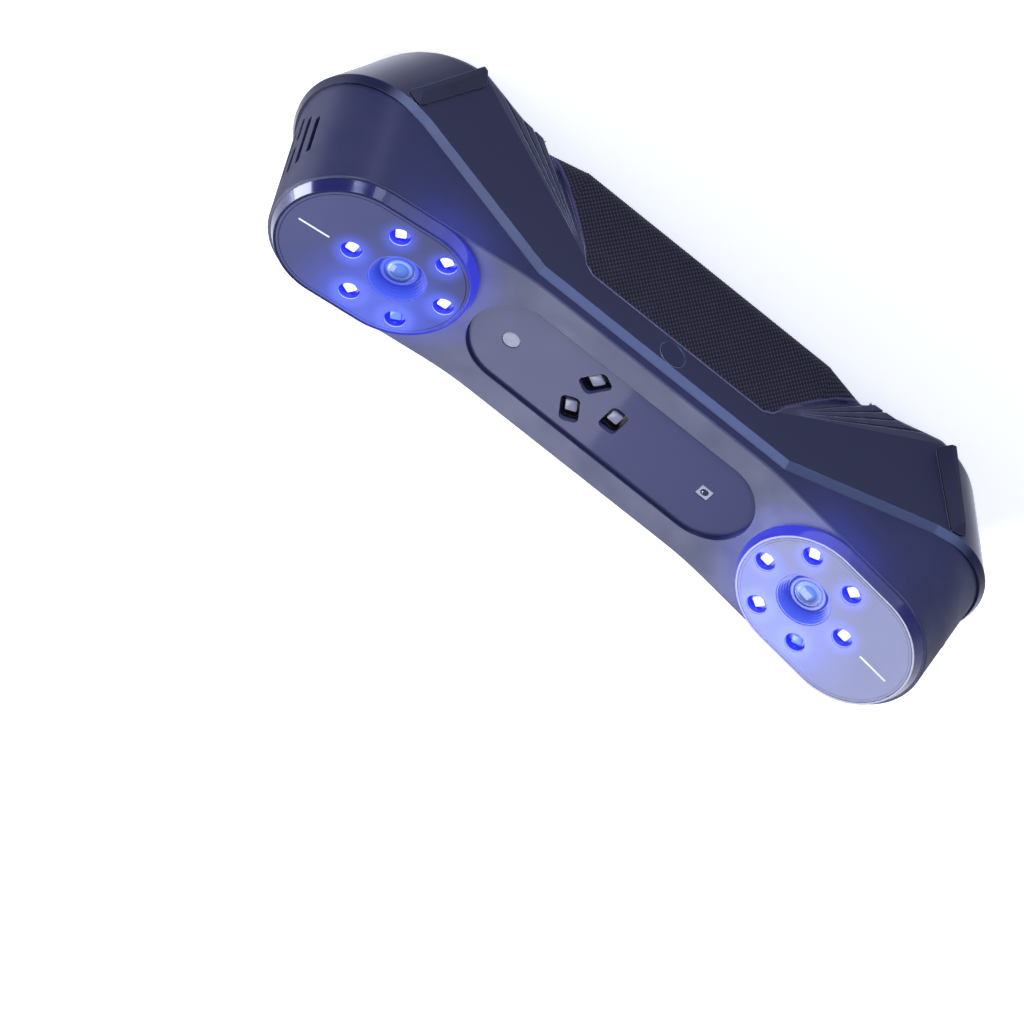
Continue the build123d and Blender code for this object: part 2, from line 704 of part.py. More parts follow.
for side, name in ((1, "right"), (-1, "left")):
    with BuildPart() as bezel:
        with BuildSketch(pod_plane(side, bezel_height)):
            slot_face(face_radius + bezel_spread)
        extrude(amount=bezel_height, taper=degrees(atan(bezel_spread / bezel_height)))
        with BuildSketch(pod_plane(side, spigot_depth)):
            slot_face(spigot_radius)
        extrude(amount=spigot_depth - bezel_height)
        with BuildSketch(pod_plane(side)) as pocket:
            slot_face(face_radius - bezel_land)
        extrude(pocket.sketch, amount=-window_thickness, mode=Mode.SUBTRACT)
        with BuildSketch(pod_plane(side)) as through:
            slot_face(face_radius - bezel_land - bezel_ledge)
        extrude(through.sketch, amount=-clear, mode=Mode.SUBTRACT)
    keep(f"bezel_{name}", bezel)

    with BuildPart() as pod_window:
        with BuildSketch(pod_plane(side, window_thickness)):
            slot_face(face_radius - bezel_land - window_gap)
            Circle(lens_hole_radius, mode=Mode.SUBTRACT)
            with on_lamp_ring():
                Circle(led_window_radius, mode=Mode.SUBTRACT)
        extrude(amount=window_thickness)
    keep(f"pod_window_{name}", pod_window)

    with BuildPart() as lens_baffle:
        with BuildSketch(axis_section(side)):
            with BuildLine():
                rim = lens_hole_radius - window_gap
                steps = [
                    point
                    for n in range(baffle_steps)
                    for point in (
                        (rim - baffle_land - n * baffle_step, -sight_depth - n * baffle_drop),
                        (rim - baffle_land - n * baffle_step, -sight_depth - (n + 1) * baffle_drop),
                    )
                ]
                throat = barrel_radius + window_gap
                Polyline(
                    (rim, -sight_depth), *steps,
                    (throat, -sight_depth - baffle_steps * baffle_drop), (throat, -baffle_depth),
                    (rim, -baffle_depth), (rim, -window_thickness - flange_thickness),
                    (rim + baffle_flange, -window_thickness - flange_thickness),
                    (rim + baffle_flange, -window_thickness), (rim, -window_thickness), close=True,
                )
            make_face()
        revolve(axis=lens_axis(side))
    keep(f"lens_baffle_{name}", lens_baffle)

    with BuildPart() as lens_barrel:
        with BuildSketch(pod_plane(side, barrel_depth + barrel_length)):
            Circle(barrel_radius)
        extrude(amount=barrel_length)
        chamfer(lens_barrel.faces().sort_by(lens_axis(side))[-1].edges(), length=barrel_chamfer)
        with BuildSketch(pod_plane(side, barrel_depth)) as seat:
            Circle(glass_radius + window_gap)
        extrude(seat.sketch, amount=-glass_thickness, mode=Mode.SUBTRACT)
        with BuildSketch(pod_plane(side, barrel_depth)) as light_path:
            Circle(glass_radius - barrel_chamfer)
        extrude(light_path.sketch, amount=-barrel_length, mode=Mode.SUBTRACT)
    keep(f"lens_barrel_{name}", lens_barrel)

    with BuildPart() as lens_glass:
        with BuildSketch(pod_plane(side, barrel_depth + glass_thickness)):
            Circle(glass_radius)
        extrude(amount=glass_thickness)
        with Locations(pod_plane(side, barrel_depth + glass_dome)):
            Sphere(glass_dome, mode=Mode.INTERSECT)
    keep(f"lens_glass_{name}", lens_glass)

    with BuildPart() as lens_holder:
        with BuildSketch(pod_plane(side, camera_depth)):
            Rectangle(holder_size, holder_size)
        extrude(amount=holder_height)
        fillet(lens_holder.edges().filter_by(lens_axis(side)), radius=holder_corner)
        with BuildSketch(pod_plane(side, camera_depth)) as thread:
            Circle(barrel_radius + screw_gap)
        extrude(thread.sketch, amount=holder_height, mode=Mode.SUBTRACT)
        with BuildSketch(pod_plane(side, camera_depth)) as chip_room:
            Rectangle(sensor_room, sensor_room)
        extrude(chip_room.sketch, amount=sensor_room_height, mode=Mode.SUBTRACT)
    keep(f"lens_holder_{name}", lens_holder)

    with BuildPart() as image_sensor:
        with BuildSketch(pod_plane(side, camera_depth)):
            Rectangle(sensor_size, sensor_size)
        extrude(amount=sensor_height)
    keep(f"image_sensor_{name}", image_sensor)

    with BuildPart() as camera_board:
        with BuildSketch(pod_plane(side, camera_depth + board_thickness)):
            RectangleRounded(camera_board_size, camera_board_size, board_corner)
            with GridLocations(camera_screw_pitch, camera_screw_pitch, 2, 2):
                Circle(small_screw_radius + window_gap, mode=Mode.SUBTRACT)
        extrude(amount=board_thickness)
    keep(f"camera_board_{name}", camera_board)

    with BuildPart() as camera_screws:
        with BuildSketch(pod_plane(side, camera_depth)):
            with GridLocations(camera_screw_pitch, camera_screw_pitch, 2, 2):
                Circle(small_head_radius)
        extrude(amount=small_head_height)
        with BuildSketch(pod_plane(side, camera_depth)) as shanks:
            with GridLocations(camera_screw_pitch, camera_screw_pitch, 2, 2):
                Circle(small_screw_radius)
        extrude(shanks.sketch, amount=-(board_thickness + small_screw_bite))
    keep(f"camera_screws_{name}", camera_screws)

    with BuildPart() as lamp_board:
        with BuildSketch(pod_plane(side, spigot_depth + board_thickness)):
            slot_face(spigot_radius - led_board_margin)
            Circle(lens_hole_radius + window_gap, mode=Mode.SUBTRACT)
        extrude(amount=board_thickness)
    keep(f"lamp_board_{name}", lamp_board)

    with BuildPart() as lamps:
        with BuildSketch(pod_plane(side, spigot_depth)):
            with on_lamp_ring():
                Rectangle(lamp_size, lamp_size)
        extrude(amount=lamp_height)
    keep(f"lamps_{name}", lamps)

    with BuildPart() as lamp_lenses:
        with BuildSketch(pod_plane(side, window_thickness)):
            with on_lamp_ring():
                Circle(led_window_radius - window_gap)
        extrude(amount=window_thickness - sight_depth)
        with BuildSketch(pod_plane(side, window_thickness + lens_flange)):
            with on_lamp_ring():
                Circle(led_window_radius + lens_flange)
        extrude(amount=lens_flange)
        with BuildSketch(pod_plane(side, spigot_depth - lamp_height - window_gap)):
            with on_lamp_ring():
                Circle(led_window_radius - window_gap)
        extrude(amount=spigot_depth - lamp_height - window_gap - window_thickness - lens_flange)
    keep(f"lamp_lenses_{name}", lamp_lenses)

# ---------------------------------------------------------------- middle panel
with BuildPart() as centre_window:
    with BuildSketch(Plane.XY.offset(panel_under_z)):
        SlotOverall(2 * (panel_half_length - panel_gap), 2 * (panel_half_width - panel_gap))
        aperture_faces(0.0, mode=Mode.SUBTRACT)
        with Locations((sensor_x, 0)):
            Circle(sensor_radius + window_gap, mode=Mode.SUBTRACT)
        with Locations((small_camera_x, 0)):
            opening_size = small_camera_size + 2 * window_gap
            Rectangle(opening_size, opening_size, mode=Mode.SUBTRACT)
    extrude(amount=panel_thickness)
keep("centre_window", centre_window)

block_top = panel_under_z - window_gap
bore_top = block_top - aperture_steps * step_height
with BuildPart() as emitter_block:
    with BuildSketch(Plane.XY.offset(bench_z)):
        with Locations((emitter_centre, 0)):
            RectangleRounded(foot_length, 2 * (emitter_block_radius - foot_trim), board_corner)
    extrude(amount=foot_height)
    with BuildSketch(Plane.XY.offset(bench_z)):
        with Locations((emitter_centre, 0)):
            Circle(emitter_block_radius)
    extrude(amount=block_top - bench_z)
    for step in range(aperture_steps):
        with BuildSketch(Plane.XY.offset(block_top - (step + 1) * step_height)) as pocket:
            aperture_faces(step * aperture_step)
        extrude(pocket.sketch, amount=step_height, mode=Mode.SUBTRACT)
    with BuildSketch(Plane.XY.offset(bench_z)) as bores:
        with Locations(*emitter_spots()):
            Circle(laser_radius + window_gap)
        with Locations(*emitter_screw_spots()):
            Circle(screw_radius + screw_gap)
    extrude(bores.sketch, amount=bore_top - bench_z, mode=Mode.SUBTRACT)
keep("emitter_block", emitter_block)

with BuildPart() as emitter_screws:
    with BuildSketch(Plane.XY.offset(bench_z + foot_height)):
        with Locations(*emitter_screw_spots()):
            Circle(screw_head_radius)
    extrude(amount=screw_head_height)
    with BuildSketch(Plane.XY.offset(bench_z + foot_height)) as shanks:
        with Locations(*emitter_screw_spots()):
            Circle(screw_radius)
    extrude(shanks.sketch, amount=-(foot_height + small_screw_bite))
keep("emitter_screws", emitter_screws)

with BuildPart() as laser_modules:
    with BuildSketch(Plane.XY.offset(bench_z)):
        with Locations(*emitter_spots()):
            Circle(laser_radius)
    extrude(amount=bore_top - bench_z)
keep("laser_modules", laser_modules)

with BuildPart() as laser_lenses:
    with BuildSketch(Plane.XY.offset(bore_top)):
        for (turn, lie), spot in zip(emitter_turns, emitter_spots()):
            with Locations(spot):
                Rectangle(lens_long * emitter_radius, lens_short * emitter_radius, rotation=lie)
    extrude(amount=panel_z - emitter_depth - bore_top)
    chamfer(laser_lenses.faces().filter_by(Axis.Z).group_by(Axis.Z)[-1].edges(), length=lens_chamfer)
keep("laser_lenses", laser_lenses)

with BuildPart() as panel_board:
    with BuildSketch(Plane.XY.offset(panel_board_z - board_thickness)):
        Rectangle(2 * (panel_half_length - panel_board_trim), 2 * (panel_half_width + panel_board_wide))
        with Locations((emitter_centre, 0)):
            Circle(emitter_block_radius + screw_gap, mode=Mode.SUBTRACT)
    extrude(amount=board_thickness)
keep("panel_board", panel_board)

with BuildPart() as round_sensor:
    with BuildSketch(Plane.XY.offset(panel_board_z)):
        with Locations((sensor_x, 0)):
            Circle(sensor_radius + sensor_skirt)
    extrude(amount=panel_under_z - window_gap - panel_board_z)
    with BuildSketch(Plane.XY.offset(panel_board_z)):
        with Locations((sensor_x, 0)):
            Circle(sensor_radius)
    extrude(amount=panel_z - sight_depth - panel_board_z)
keep("round_sensor", round_sensor)

with BuildPart() as colour_camera:
    with BuildSketch(Plane.XY.offset(panel_board_z)):
        with Locations((small_camera_x, 0)):
            Rectangle(small_camera_size + 2 * sensor_skirt, small_camera_size + 2 * sensor_skirt)
    extrude(amount=panel_under_z - window_gap - panel_board_z)
    with BuildSketch(Plane.XY.offset(panel_board_z)):
        with Locations((small_camera_x, 0)):
            Rectangle(small_camera_size, small_camera_size)
            Circle(camera_eye_radius, mode=Mode.SUBTRACT)
    extrude(amount=panel_z - sight_depth - panel_board_z)
keep("colour_camera", colour_camera)

with BuildPart() as colour_camera_lens:
    with BuildSketch(Plane.XY.offset(panel_under_z - window_gap)):
        with Locations((small_camera_x, 0)):
            Circle(camera_eye_radius - button_gap)
    extrude(amount=panel_thickness)
    fillet(colour_camera_lens.edges().group_by(Axis.Z)[-1], radius=camera_eye_radius / 2)
keep("colour_camera_lens", colour_camera_lens)

# ---------------------------------------------------------------- optical_bench
with BuildPart() as optical_bench:
    middle_half = lens_x - bench_inner * cos(radians(toe_in)) + bench_lap
    middle_half += bench_depth * sin(radians(toe_in))
    with BuildSketch(Plane.XY.offset(bench_under_z)):
        Rectangle(2 * middle_half, 2 * bench_half_width)
        with Locations(*screw_spots()):
            Circle(screw_radius + screw_gap, mode=Mode.SUBTRACT)
        with Locations(*spacer_spots()):
            Circle(small_screw_radius + window_gap, mode=Mode.SUBTRACT)
        with Locations(*emitter_screw_spots()):
            Circle(screw_radius + window_gap, mode=Mode.SUBTRACT)
        with GridLocations(2 * ribbon_slot_x, 1, 2, 1):
            Rectangle(ribbon_slot_width, ribbon_width + 2 * ribbon_slot_play, mode=Mode.SUBTRACT)
    extrude(amount=bench_thickness)
    for side in (1, -1):
        with BuildSketch(pod_plane(side, bench_depth + bench_thickness)):
            with Locations(((bench_outer - bench_inner) / 2, 0)):
                Rectangle(bench_inner + bench_outer, 2 * (bench_half_width - bench_end_trim))
            with GridLocations(camera_screw_pitch, camera_screw_pitch, 2, 2):
                Circle(small_screw_radius + window_gap, mode=Mode.SUBTRACT)
            if side < 0:
                with Locations(*socket_screw_spots()):
                    Circle(small_screw_radius + window_gap, mode=Mode.SUBTRACT)
        extrude(amount=bench_thickness)
keep("optical_bench", optical_bench)

# ---------------------------------------------------------------- main board
with BuildPart() as main_board:
    with BuildSketch(Plane.XY.offset(main_board_z - main_board_thickness)):
        RectangleRounded(2 * main_board_half, main_board_width, board_corner)
        with Locations(*spacer_spots()):
            Circle(small_screw_radius + window_gap, mode=Mode.SUBTRACT)
    extrude(amount=main_board_thickness)
keep("main_board", main_board)

with BuildPart() as board_spacers:
    with BuildSketch(Plane.XY.offset(main_board_z)):
        with Locations(*spacer_spots()):
            RegularPolygon(spacer_radius, 6)
            Circle(small_screw_radius + window_gap, mode=Mode.SUBTRACT)
    extrude(amount=spacer_height)
keep("board_spacers", board_spacers)

with BuildPart() as board_screws:
    for seat_z, toward in ((main_board_z - main_board_thickness, 1), (bench_z, -1)):
        with BuildSketch(Plane.XY.offset(seat_z)) as heads:
            with Locations(*spacer_spots()):
                Circle(small_head_radius)
        extrude(heads.sketch, amount=-toward * small_head_height)
        with BuildSketch(Plane.XY.offset(seat_z)) as shanks:
            with Locations(*spacer_spots()):
                Circle(small_screw_radius)
        extrude(shanks.sketch, amount=toward * (bench_thickness + small_screw_bite))
keep("board_screws", board_screws)

with BuildPart() as processor:
    with BuildSketch(Plane.XY.offset(main_board_z)):
        with Locations((chip_x, 0)):
            Rectangle(chip_size, chip_size)
    extrude(amount=chip_height)
keep("processor", processor)

with BuildPart() as board_chips:
    with BuildSketch(Plane.XY.offset(main_board_z)):
        with Locations(*[(main_board_half - memory_setback, y) for y in (memory_y, -memory_y)]):
            Rectangle(*memory_size)
    extrude(amount=memory_height)
    with BuildSketch(Plane.XY.offset(main_board_z - main_board_thickness)) as under:
        with GridLocations(*coil_pitch, *coil_rows):
            Rectangle(coil_size, coil_size)
    extrude(under.sketch, amount=-coil_height)
keep("board_chips", board_chips)

with BuildPart() as thermal_pad:
    with BuildSketch(Plane.XY.offset(main_board_z + chip_height)):
        with Locations((chip_x, 0)):
            Rectangle(chip_size, chip_size)
    extrude(amount=pad_thickness)
keep("thermal_pad", thermal_pad)

sink_z = main_board_z + chip_height + pad_thickness
sink_length = 2 * (main_board_half - spacer_margin[0] + chip_x - sink_margin)
with BuildPart() as heat_sink:
    with BuildSketch(Plane.XY.offset(sink_z)):
        with Locations((chip_x, 0)):
            Rectangle(sink_length, sink_width)
    extrude(amount=sink_base)
    fin_pitch = (sink_width - fin_thickness) / (sink_fins - 1)
    with BuildSketch(Plane.XY.offset(sink_z)):
        with Locations((chip_x, 0)):
            with GridLocations(1, fin_pitch, 1, sink_fins):
                Rectangle(sink_length, fin_thickness)
    extrude(amount=sink_height)
keep("heat_sink", heat_sink)

for side, name in ((1, "right"), (-1, "left")):
    start = pod_plane(side, camera_depth - ribbon_thickness / 2).from_local_coords(
        (-camera_board_size / 2 + board_corner, 0, 0)
    )
    slot_x = side * ribbon_slot_x
    board_end = side * main_board_half
    with BuildPart() as ribbon:
        with BuildSketch(Plane.XZ):
            with BuildLine():
                FilletPolyline(
                    (start.X, start.Z),
                    (side * (ribbon_slot_x + ribbon_bend), bench_z + ribbon_lift),
                    (slot_x, bench_z + ribbon_lift),
                    (slot_x, main_board_z + ribbon_lift),
                    (board_end - side * ribbon_bend, main_board_z + ribbon_thickness),
                    radius=ribbon_radius,
                )
            trace(line_width=ribbon_thickness)
        extrude(amount=ribbon_width / 2, both=True)
    keep(f"camera_ribbon_{name}", ribbon)

# ---------------------------------------------------------------- cable socket
with BuildPart() as socket_board:
    with BuildSketch(pod_plane(-1, camera_depth + board_thickness)):
        with Locations((socket_board_reach, 0)):
            Rectangle(*socket_board_size)
        with Locations(*socket_screw_spots()):
            Circle(small_screw_radius + window_gap, mode=Mode.SUBTRACT)
    extrude(amount=board_thickness)
keep("socket_board", socket_board)

with BuildPart() as socket_screws:
    with BuildSketch(pod_plane(-1, camera_depth)):
        with Locations(*socket_screw_spots()):
            Circle(small_head_radius)
    extrude(amount=small_head_height)
    with BuildSketch(pod_plane(-1, camera_depth)) as shanks:
        with Locations(*socket_screw_spots()):
            Circle(small_screw_radius)
    extrude(shanks.sketch, amount=-(board_thickness + small_screw_bite))
keep("socket_screws", socket_screws)

with BuildPart() as cable_socket:
    mouth = socket_plane().offset(-socket_recess)
    with BuildSketch(mouth) as shell_outline:
        RectangleRounded(socket_width, socket_height, socket_corner)
    extrude(shell_outline.sketch, amount=-socket_length)
    with BuildSketch(mouth) as bore:
        RectangleRounded(
            socket_width - 2 * socket_wall, socket_height - 2 * socket_wall, socket_corner - socket_wall
        )
    extrude(bore.sketch, amount=-(tongue_size[0] + tongue_setback), mode=Mode.SUBTRACT)
    with BuildSketch(mouth.offset(-tongue_setback)) as tongue:
        Rectangle(tongue_size[1], tongue_size[2])
    extrude(tongue.sketch, amount=-(tongue_size[0] + socket_wall))
keep("cable_socket", cable_socket)

# ---------------------------------------------------------------- vent_screen
with BuildPart() as vent_screen:
    outer_wall = front_half_width - front_wall - window_gap
    with BuildSketch(pod_plane(1, screen_span[1])):
        with Locations((face_stretch, 0)):
            Circle(outer_wall)
            Circle(outer_wall - screen_thickness, mode=Mode.SUBTRACT)
        with BuildLine():
            wedge = 2 * front_half_width
            tip = (face_stretch, 0)
            low = (face_stretch + wedge, -wedge * tan(radians(screen_half_angle)))
            high = (face_stretch + wedge, wedge * tan(radians(screen_half_angle)))
            Polyline(tip, low, high, close=True)
        make_face(mode=Mode.INTERSECT)
    extrude(amount=screen_span[1] - screen_span[0])
keep("vent_screen", vent_screen)

# ---------------------------------------------------------------- button
with BuildPart() as round_button:
    with BuildSketch(Plane.XZ.offset(flank_inner - seat_gap)):
        with Locations((0, button_height)):
            Circle(button_radius)
    extrude(amount=shell_wall + seat_gap)
    fillet(round_button.edges().group_by(Axis.Y)[0], radius=button_edge)
    with BuildSketch(Plane.XZ.offset(flank_inner - seat_gap)) as flange:
        with Locations((0, button_height)):
            Circle(button_radius + button_flange)
    extrude(flange.sketch, amount=-flange_thickness)
    with BuildSketch(Plane.XZ.offset(flank_inner - seat_gap)) as stem:
        with Locations((0, button_height)):
            Circle(stem_radius)
    extrude(stem.sketch, amount=-(flange_thickness + stem_length))
keep("round_button", round_button)

with BuildPart() as button_switch:
    with BuildSketch(Plane.XZ.offset(switch_face)) as plunger:
        with Locations((0, button_height)):
            Circle(plunger_radius)
    extrude(plunger.sketch, amount=-(plunger_length + switch_body))
    with BuildSketch(Plane.XZ.offset(switch_face - plunger_length)) as body:
        with Locations((0, button_height)):
            Rectangle(switch_size, switch_size)
    extrude(body.sketch, amount=-switch_body)
keep("button_switch", button_switch)

button_board_height = panel_board_z - board_thickness - bench_z - button_board_gap
with BuildPart() as button_board:
    with BuildSketch(Plane.XZ.offset(switch_face - plunger_length - switch_body)) as upright:
        with Locations((0, bench_z + button_board_height / 2)):
            Rectangle(button_board_width, button_board_height)
    extrude(upright.sketch, amount=-board_thickness)
keep("button_board", button_board)

# ---------------------------------------------------------------- housing_screws
with BuildPart() as housing_screws:
    with BuildSketch(Plane.XY.offset(screw_seat)) as heads:
        with Locations(*screw_spots()):
            Circle(screw_head_radius)
            RegularPolygon(screw_socket, 6, mode=Mode.SUBTRACT)
    extrude(heads.sketch, amount=-screw_head_height)
    with BuildSketch(Plane.XY.offset(screw_seat - small_head_height)) as shanks:
        with Locations(*screw_spots()):
            Circle(screw_radius)
    extrude(shanks.sketch, amount=bench_z + screw_reach - screw_bottom_gap - screw_seat + small_head_height)
keep("housing_screws", housing_screws)
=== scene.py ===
"""Looks of the hand-held 3D scanner: materials, grip skin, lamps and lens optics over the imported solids.

Row frame: X along the scanner, -Y the flank with the round button, Z the way it looks. Metres;
shapes are written in millimetres and scaled by MM.
"""

import math

import bmesh
import bpy
import numpy as np
from mathutils import Matrix, Vector


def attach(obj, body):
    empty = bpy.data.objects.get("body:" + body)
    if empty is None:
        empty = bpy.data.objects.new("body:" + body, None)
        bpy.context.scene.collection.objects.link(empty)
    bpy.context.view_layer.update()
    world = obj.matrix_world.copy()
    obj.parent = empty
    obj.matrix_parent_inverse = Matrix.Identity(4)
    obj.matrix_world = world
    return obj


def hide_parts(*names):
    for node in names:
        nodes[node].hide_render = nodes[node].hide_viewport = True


MM = 0.001
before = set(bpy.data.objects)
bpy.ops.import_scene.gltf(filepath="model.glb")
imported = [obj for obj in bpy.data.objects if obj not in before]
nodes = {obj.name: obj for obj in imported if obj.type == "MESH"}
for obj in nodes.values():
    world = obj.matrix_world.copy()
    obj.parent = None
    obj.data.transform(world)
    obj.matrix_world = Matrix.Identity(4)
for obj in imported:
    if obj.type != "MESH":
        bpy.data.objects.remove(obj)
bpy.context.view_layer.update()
scene = bpy.context.scene

# ---------------------------------------------------------------- sizes shared with the solids (mm)
LENS_X, FACE_Z, TOE_IN = 64.5, 59.4, math.radians(10)
FACE_R, FACE_STRETCH = 18.4, 14.6
LED_RING, LED_COUNT = 13.5, 6
GRIP_HALF_WIDTH, GRIP_BACK, GRIP_ROUND = 21.8, 1.0, 9.5
GRIP_FLAT, GRIP_SLOPE, GRIP_END = 39.8, 0.356, 53.2
GRIP_EDGE = ((27.0, 38.5), (29.9, 36.6), (32.4, 31.0), (43.2, 16.2), (53.2, 7.2))
PROJECTORS = ((-0.21, 0.0, 90), (9.69, -5.71, 60), (9.69, 5.71, 120))   # place, then lie in degrees
SEAM = 0.14

# ---------------------------------------------------------------- sizes of the scene's own pieces (mm)
CHIP_HALF, CHIP_ROUND, CHIP_BACK, CHIP_FRONT = 1.35, 0.35, -1.8, -1.35
MARK_X, MARK_HALF_LENGTH, MARK_HALF_WIDTH = 24.25, 4.45, 0.25
LENS_DOME, LENS_CROWN = 12.0, -2.75
PROJECTOR_BACK, PROJECTOR_FRONT = 46.9, 49.4
DIMPLE_PITCH = (1.3, 1.92)   # along the grip, and round it
DIMPLE_HALF = (0.44, 0.3)   # half sizes of a dimple, in pitches
DIMPLE_CELLS = (4, 6)   # cells of the grid to a pitch
DIMPLE_DEPTH, DIMPLE_FORM = 0.42, 0.7
SKIN_THICKNESS, SKIN_EDGE, SKIN_EDGE_DROP, SKIN_CORNER = 0.85, 0.5, 0.22, 5.0
FLOOR_HALF, FLOOR_Z = 6.0, -0.0002   # metres

SIDES = ((1, "right"), (-1, "left"))


def pod_frame(side):
    """A pod's own axes: x outward along the face, z the way the lens looks, origin on the lens axis."""
    x = Vector((side * math.cos(TOE_IN), 0, math.sin(TOE_IN)))
    z = Vector((-side * math.sin(TOE_IN), 0, math.cos(TOE_IN)))
    rotation = Matrix((x, z.cross(x), z)).transposed().to_4x4()
    return Matrix.Translation((side * LENS_X, 0, FACE_Z)) @ rotation


def rgb(*values):
    """A colour as a screen shows it, 0 to 255, as the linear colour that the shaders take."""
    shares = (value / 255 for value in values)
    return tuple(v / 12.92 if v <= 0.04045 else ((v + 0.055) / 1.055) ** 2.4 for v in shares)


# ---------------------------------------------------------------- camera
camera = bpy.data.objects.new("camera", bpy.data.cameras.new("camera"))
scene.collection.objects.link(camera)
camera.data.lens = 149.77
camera.data.sensor_width = 36.0
camera.data.clip_start, camera.data.clip_end = 0.05, 20.0
camera.matrix_world = Matrix((
    (-0.77530839, 0.60707741, 0.17422375, 0.18856395),
    (-0.55118715, -0.51568158, -0.65594606, -0.6636627),
    (-0.30836606, -0.60459038, 0.73442552, 0.8434665),
    (0.0, 0.0, 0.0, 1.0),
))
scene.camera = camera
scene.view_settings.view_transform = "Standard"


# ---------------------------------------------------------------- material helpers
class Shader:
    """A material's node tree, with short ways to add and join nodes."""

    def __init__(self, name):
        self.material = bpy.data.materials.new(name)
        self.material.use_nodes = True
        self.tree = self.material.node_tree
        self.tree.nodes.clear()
        self.out = self.tree.nodes.new("ShaderNodeOutputMaterial")
        self.surface = self.tree.nodes.new("ShaderNodeBsdfPrincipled")
        self.tree.links.new(self.surface.outputs[0], self.out.inputs["Surface"])
        places = self.add("ShaderNodeTexCoord").outputs
        self.coords, self.coords_normal = places["Object"], places["Normal"]

    def put(self, socket, value):
        if isinstance(value, bpy.types.NodeSocket):
            self.tree.links.new(value, socket)
        elif socket.type == "RGBA" and len(value) == 3:
            socket.default_value = (*value, 1.0)
        else:
            socket.default_value = value

    def add(self, kind, inputs=(), **settings):
        node = self.tree.nodes.new(kind)
        for key, value in settings.items():
            setattr(node, key, value)
        for key, value in dict(inputs).items():
            self.put(node.inputs[key], value)
        return node

    def set(self, **inputs):
        for key, value in inputs.items():
            self.put(self.surface.inputs[key.replace("_", " ")], value)

    def math(self, operation, a, b=0.0, c=0.0):
        return self.add("ShaderNodeMath", {0: a, 1: b, 2: c}, operation=operation).outputs[0]

    def length(self, x, y):
        """How far a place is from the origin."""
        return self.math("SQRT", self.math("ADD", self.math("MULTIPLY", x, x), self.math("MULTIPLY", y, y)))

    def noise(self, scale, detail=2.0, rough=0.5):
        return self.add(
            "ShaderNodeTexNoise",
            {"Vector": self.coords, "Scale": scale, "Detail": detail, "Roughness": rough},
        ).outputs["Fac"]

    def remap(self, value, low, high, to_low, to_high, smooth=False):
        return self.add(
            "ShaderNodeMapRange", {0: value, 1: low, 2: high, 3: to_low, 4: to_high},
            interpolation_type="SMOOTHSTEP" if smooth else "LINEAR",
        ).outputs[0]

    def band(self, value, rise, fall, smooth=False):
        """0 to 1 over the first pair of values, and back to 0 over the second."""
        risen = self.remap(value, *rise, 0.0, 1.0, smooth)
        return self.math("MULTIPLY", risen, self.remap(value, *fall, 1.0, 0.0, smooth))

    def mix(self, factor, a, b, blend="MIX"):
        node = self.add("ShaderNodeMix", data_type="RGBA", blend_type=blend)
        self.put(node.inputs[0], factor)
        self.put(node.inputs[6], a)
        self.put(node.inputs[7], b)
        return node.outputs[2]

    def ramp(self, value, stops):
        node = self.add("ShaderNodeValToRGB", {0: value})
        elements = node.color_ramp.elements
        while len(elements) < len(stops):
            elements.new(1.0)
        for element, (place, colour) in zip(elements, stops):
            element.position = place
            element.color = (*colour, 1.0)
        return node.outputs[0]

    def local(self, matrix):
        """Millimetres in a pod's own axes, as x, y and z."""
        node = self.add("ShaderNodeMapping", {"Vector": self.coords}, vector_type="TEXTURE")
        node.inputs["Location"].default_value = matrix.translation * MM
        node.inputs["Rotation"].default_value = matrix.to_euler()
        node.inputs["Scale"].default_value = (MM, MM, MM)
        return self.add("ShaderNodeSeparateXYZ", {0: node.outputs[0]}).outputs


def finish_surface(shader, colour, rough, vary, grain, bump, bevel, wear_and_highlight, blotch, rub_and_highlight=(190, 192, 206)):
    """Colour and roughness variation, edges lightened partly as rubbed paint and partly as a painted
    highlight, and a moulded or machined grain for one shader.
    """
    broad = shader.noise(blotch, 3.0, 0.55)
    fine = shader.noise(grain, 3.0, 0.6)
    shade = shader.math("MULTIPLY_ADD", shader.math("SUBTRACT", broad, 0.5), vary * 2.4, 1.0)
    shade = shader.math("MULTIPLY_ADD", shader.math("SUBTRACT", fine, 0.5), vary * 1.2, shade)
    shade = shader.add("ShaderNodeCombineXYZ", {0: shade, 1: shade, 2: shade}).outputs[0]
    tint = shader.mix(1.0, colour, shade, "MULTIPLY")
    soft = shader.add("ShaderNodeBevel", {"Radius": bevel}, samples=4).outputs[0]
    # Edges turn towards the pale colour: partly rubbed paint, partly a painted highlight along every edge.
    if wear_and_highlight:
        flat = shader.add("ShaderNodeNewGeometry").outputs["Normal"]
        turn = shader.add("ShaderNodeVectorMath", {0: soft, 1: flat}, operation="DOT_PRODUCT")
        edge = shader.remap(turn.outputs["Value"], 0.99, 0.8, 0.0, wear_and_highlight, True)
        patches = shader.remap(shader.noise(blotch * 7, 2.0), 0.35, 0.6, 0.35, 1.0)
        tint = shader.mix(shader.math("MULTIPLY", edge, patches), tint, rgb(*rub_and_highlight))
    smudges = shader.noise(blotch * 2.3, 4.0, 0.6)
    shader.set(Base_Color=tint, Roughness=shader.remap(smudges, 0.3, 0.7, rough * 0.88, rough * 1.12))
    shader.set(Normal=shader.add(
        "ShaderNodeBump", {"Strength": bump, "Distance": 0.0002, "Height": fine, "Normal": soft}
    ).outputs[0])
    return tint


def plain(
    name, colour, rough=0.45, metal=0.0, vary=0.06, grain=2600.0, bump=0.12, bevel=0.0003, wear_and_highlight=0.12,
    blotch=45.0, **inputs
):
    """A finished one-colour surface: moulded plastic, paint, metal or rubber by its numbers."""
    shader = Shader(name)
    finish_surface(shader, rgb(*colour), rough, vary, grain, bump, bevel, wear_and_highlight, blotch)
    shader.set(Metallic=metal, **inputs)
    return shader.material


# ---------------------------------------------------------------- materials
BLUE_SHINE = rgb(196, 206, 255)


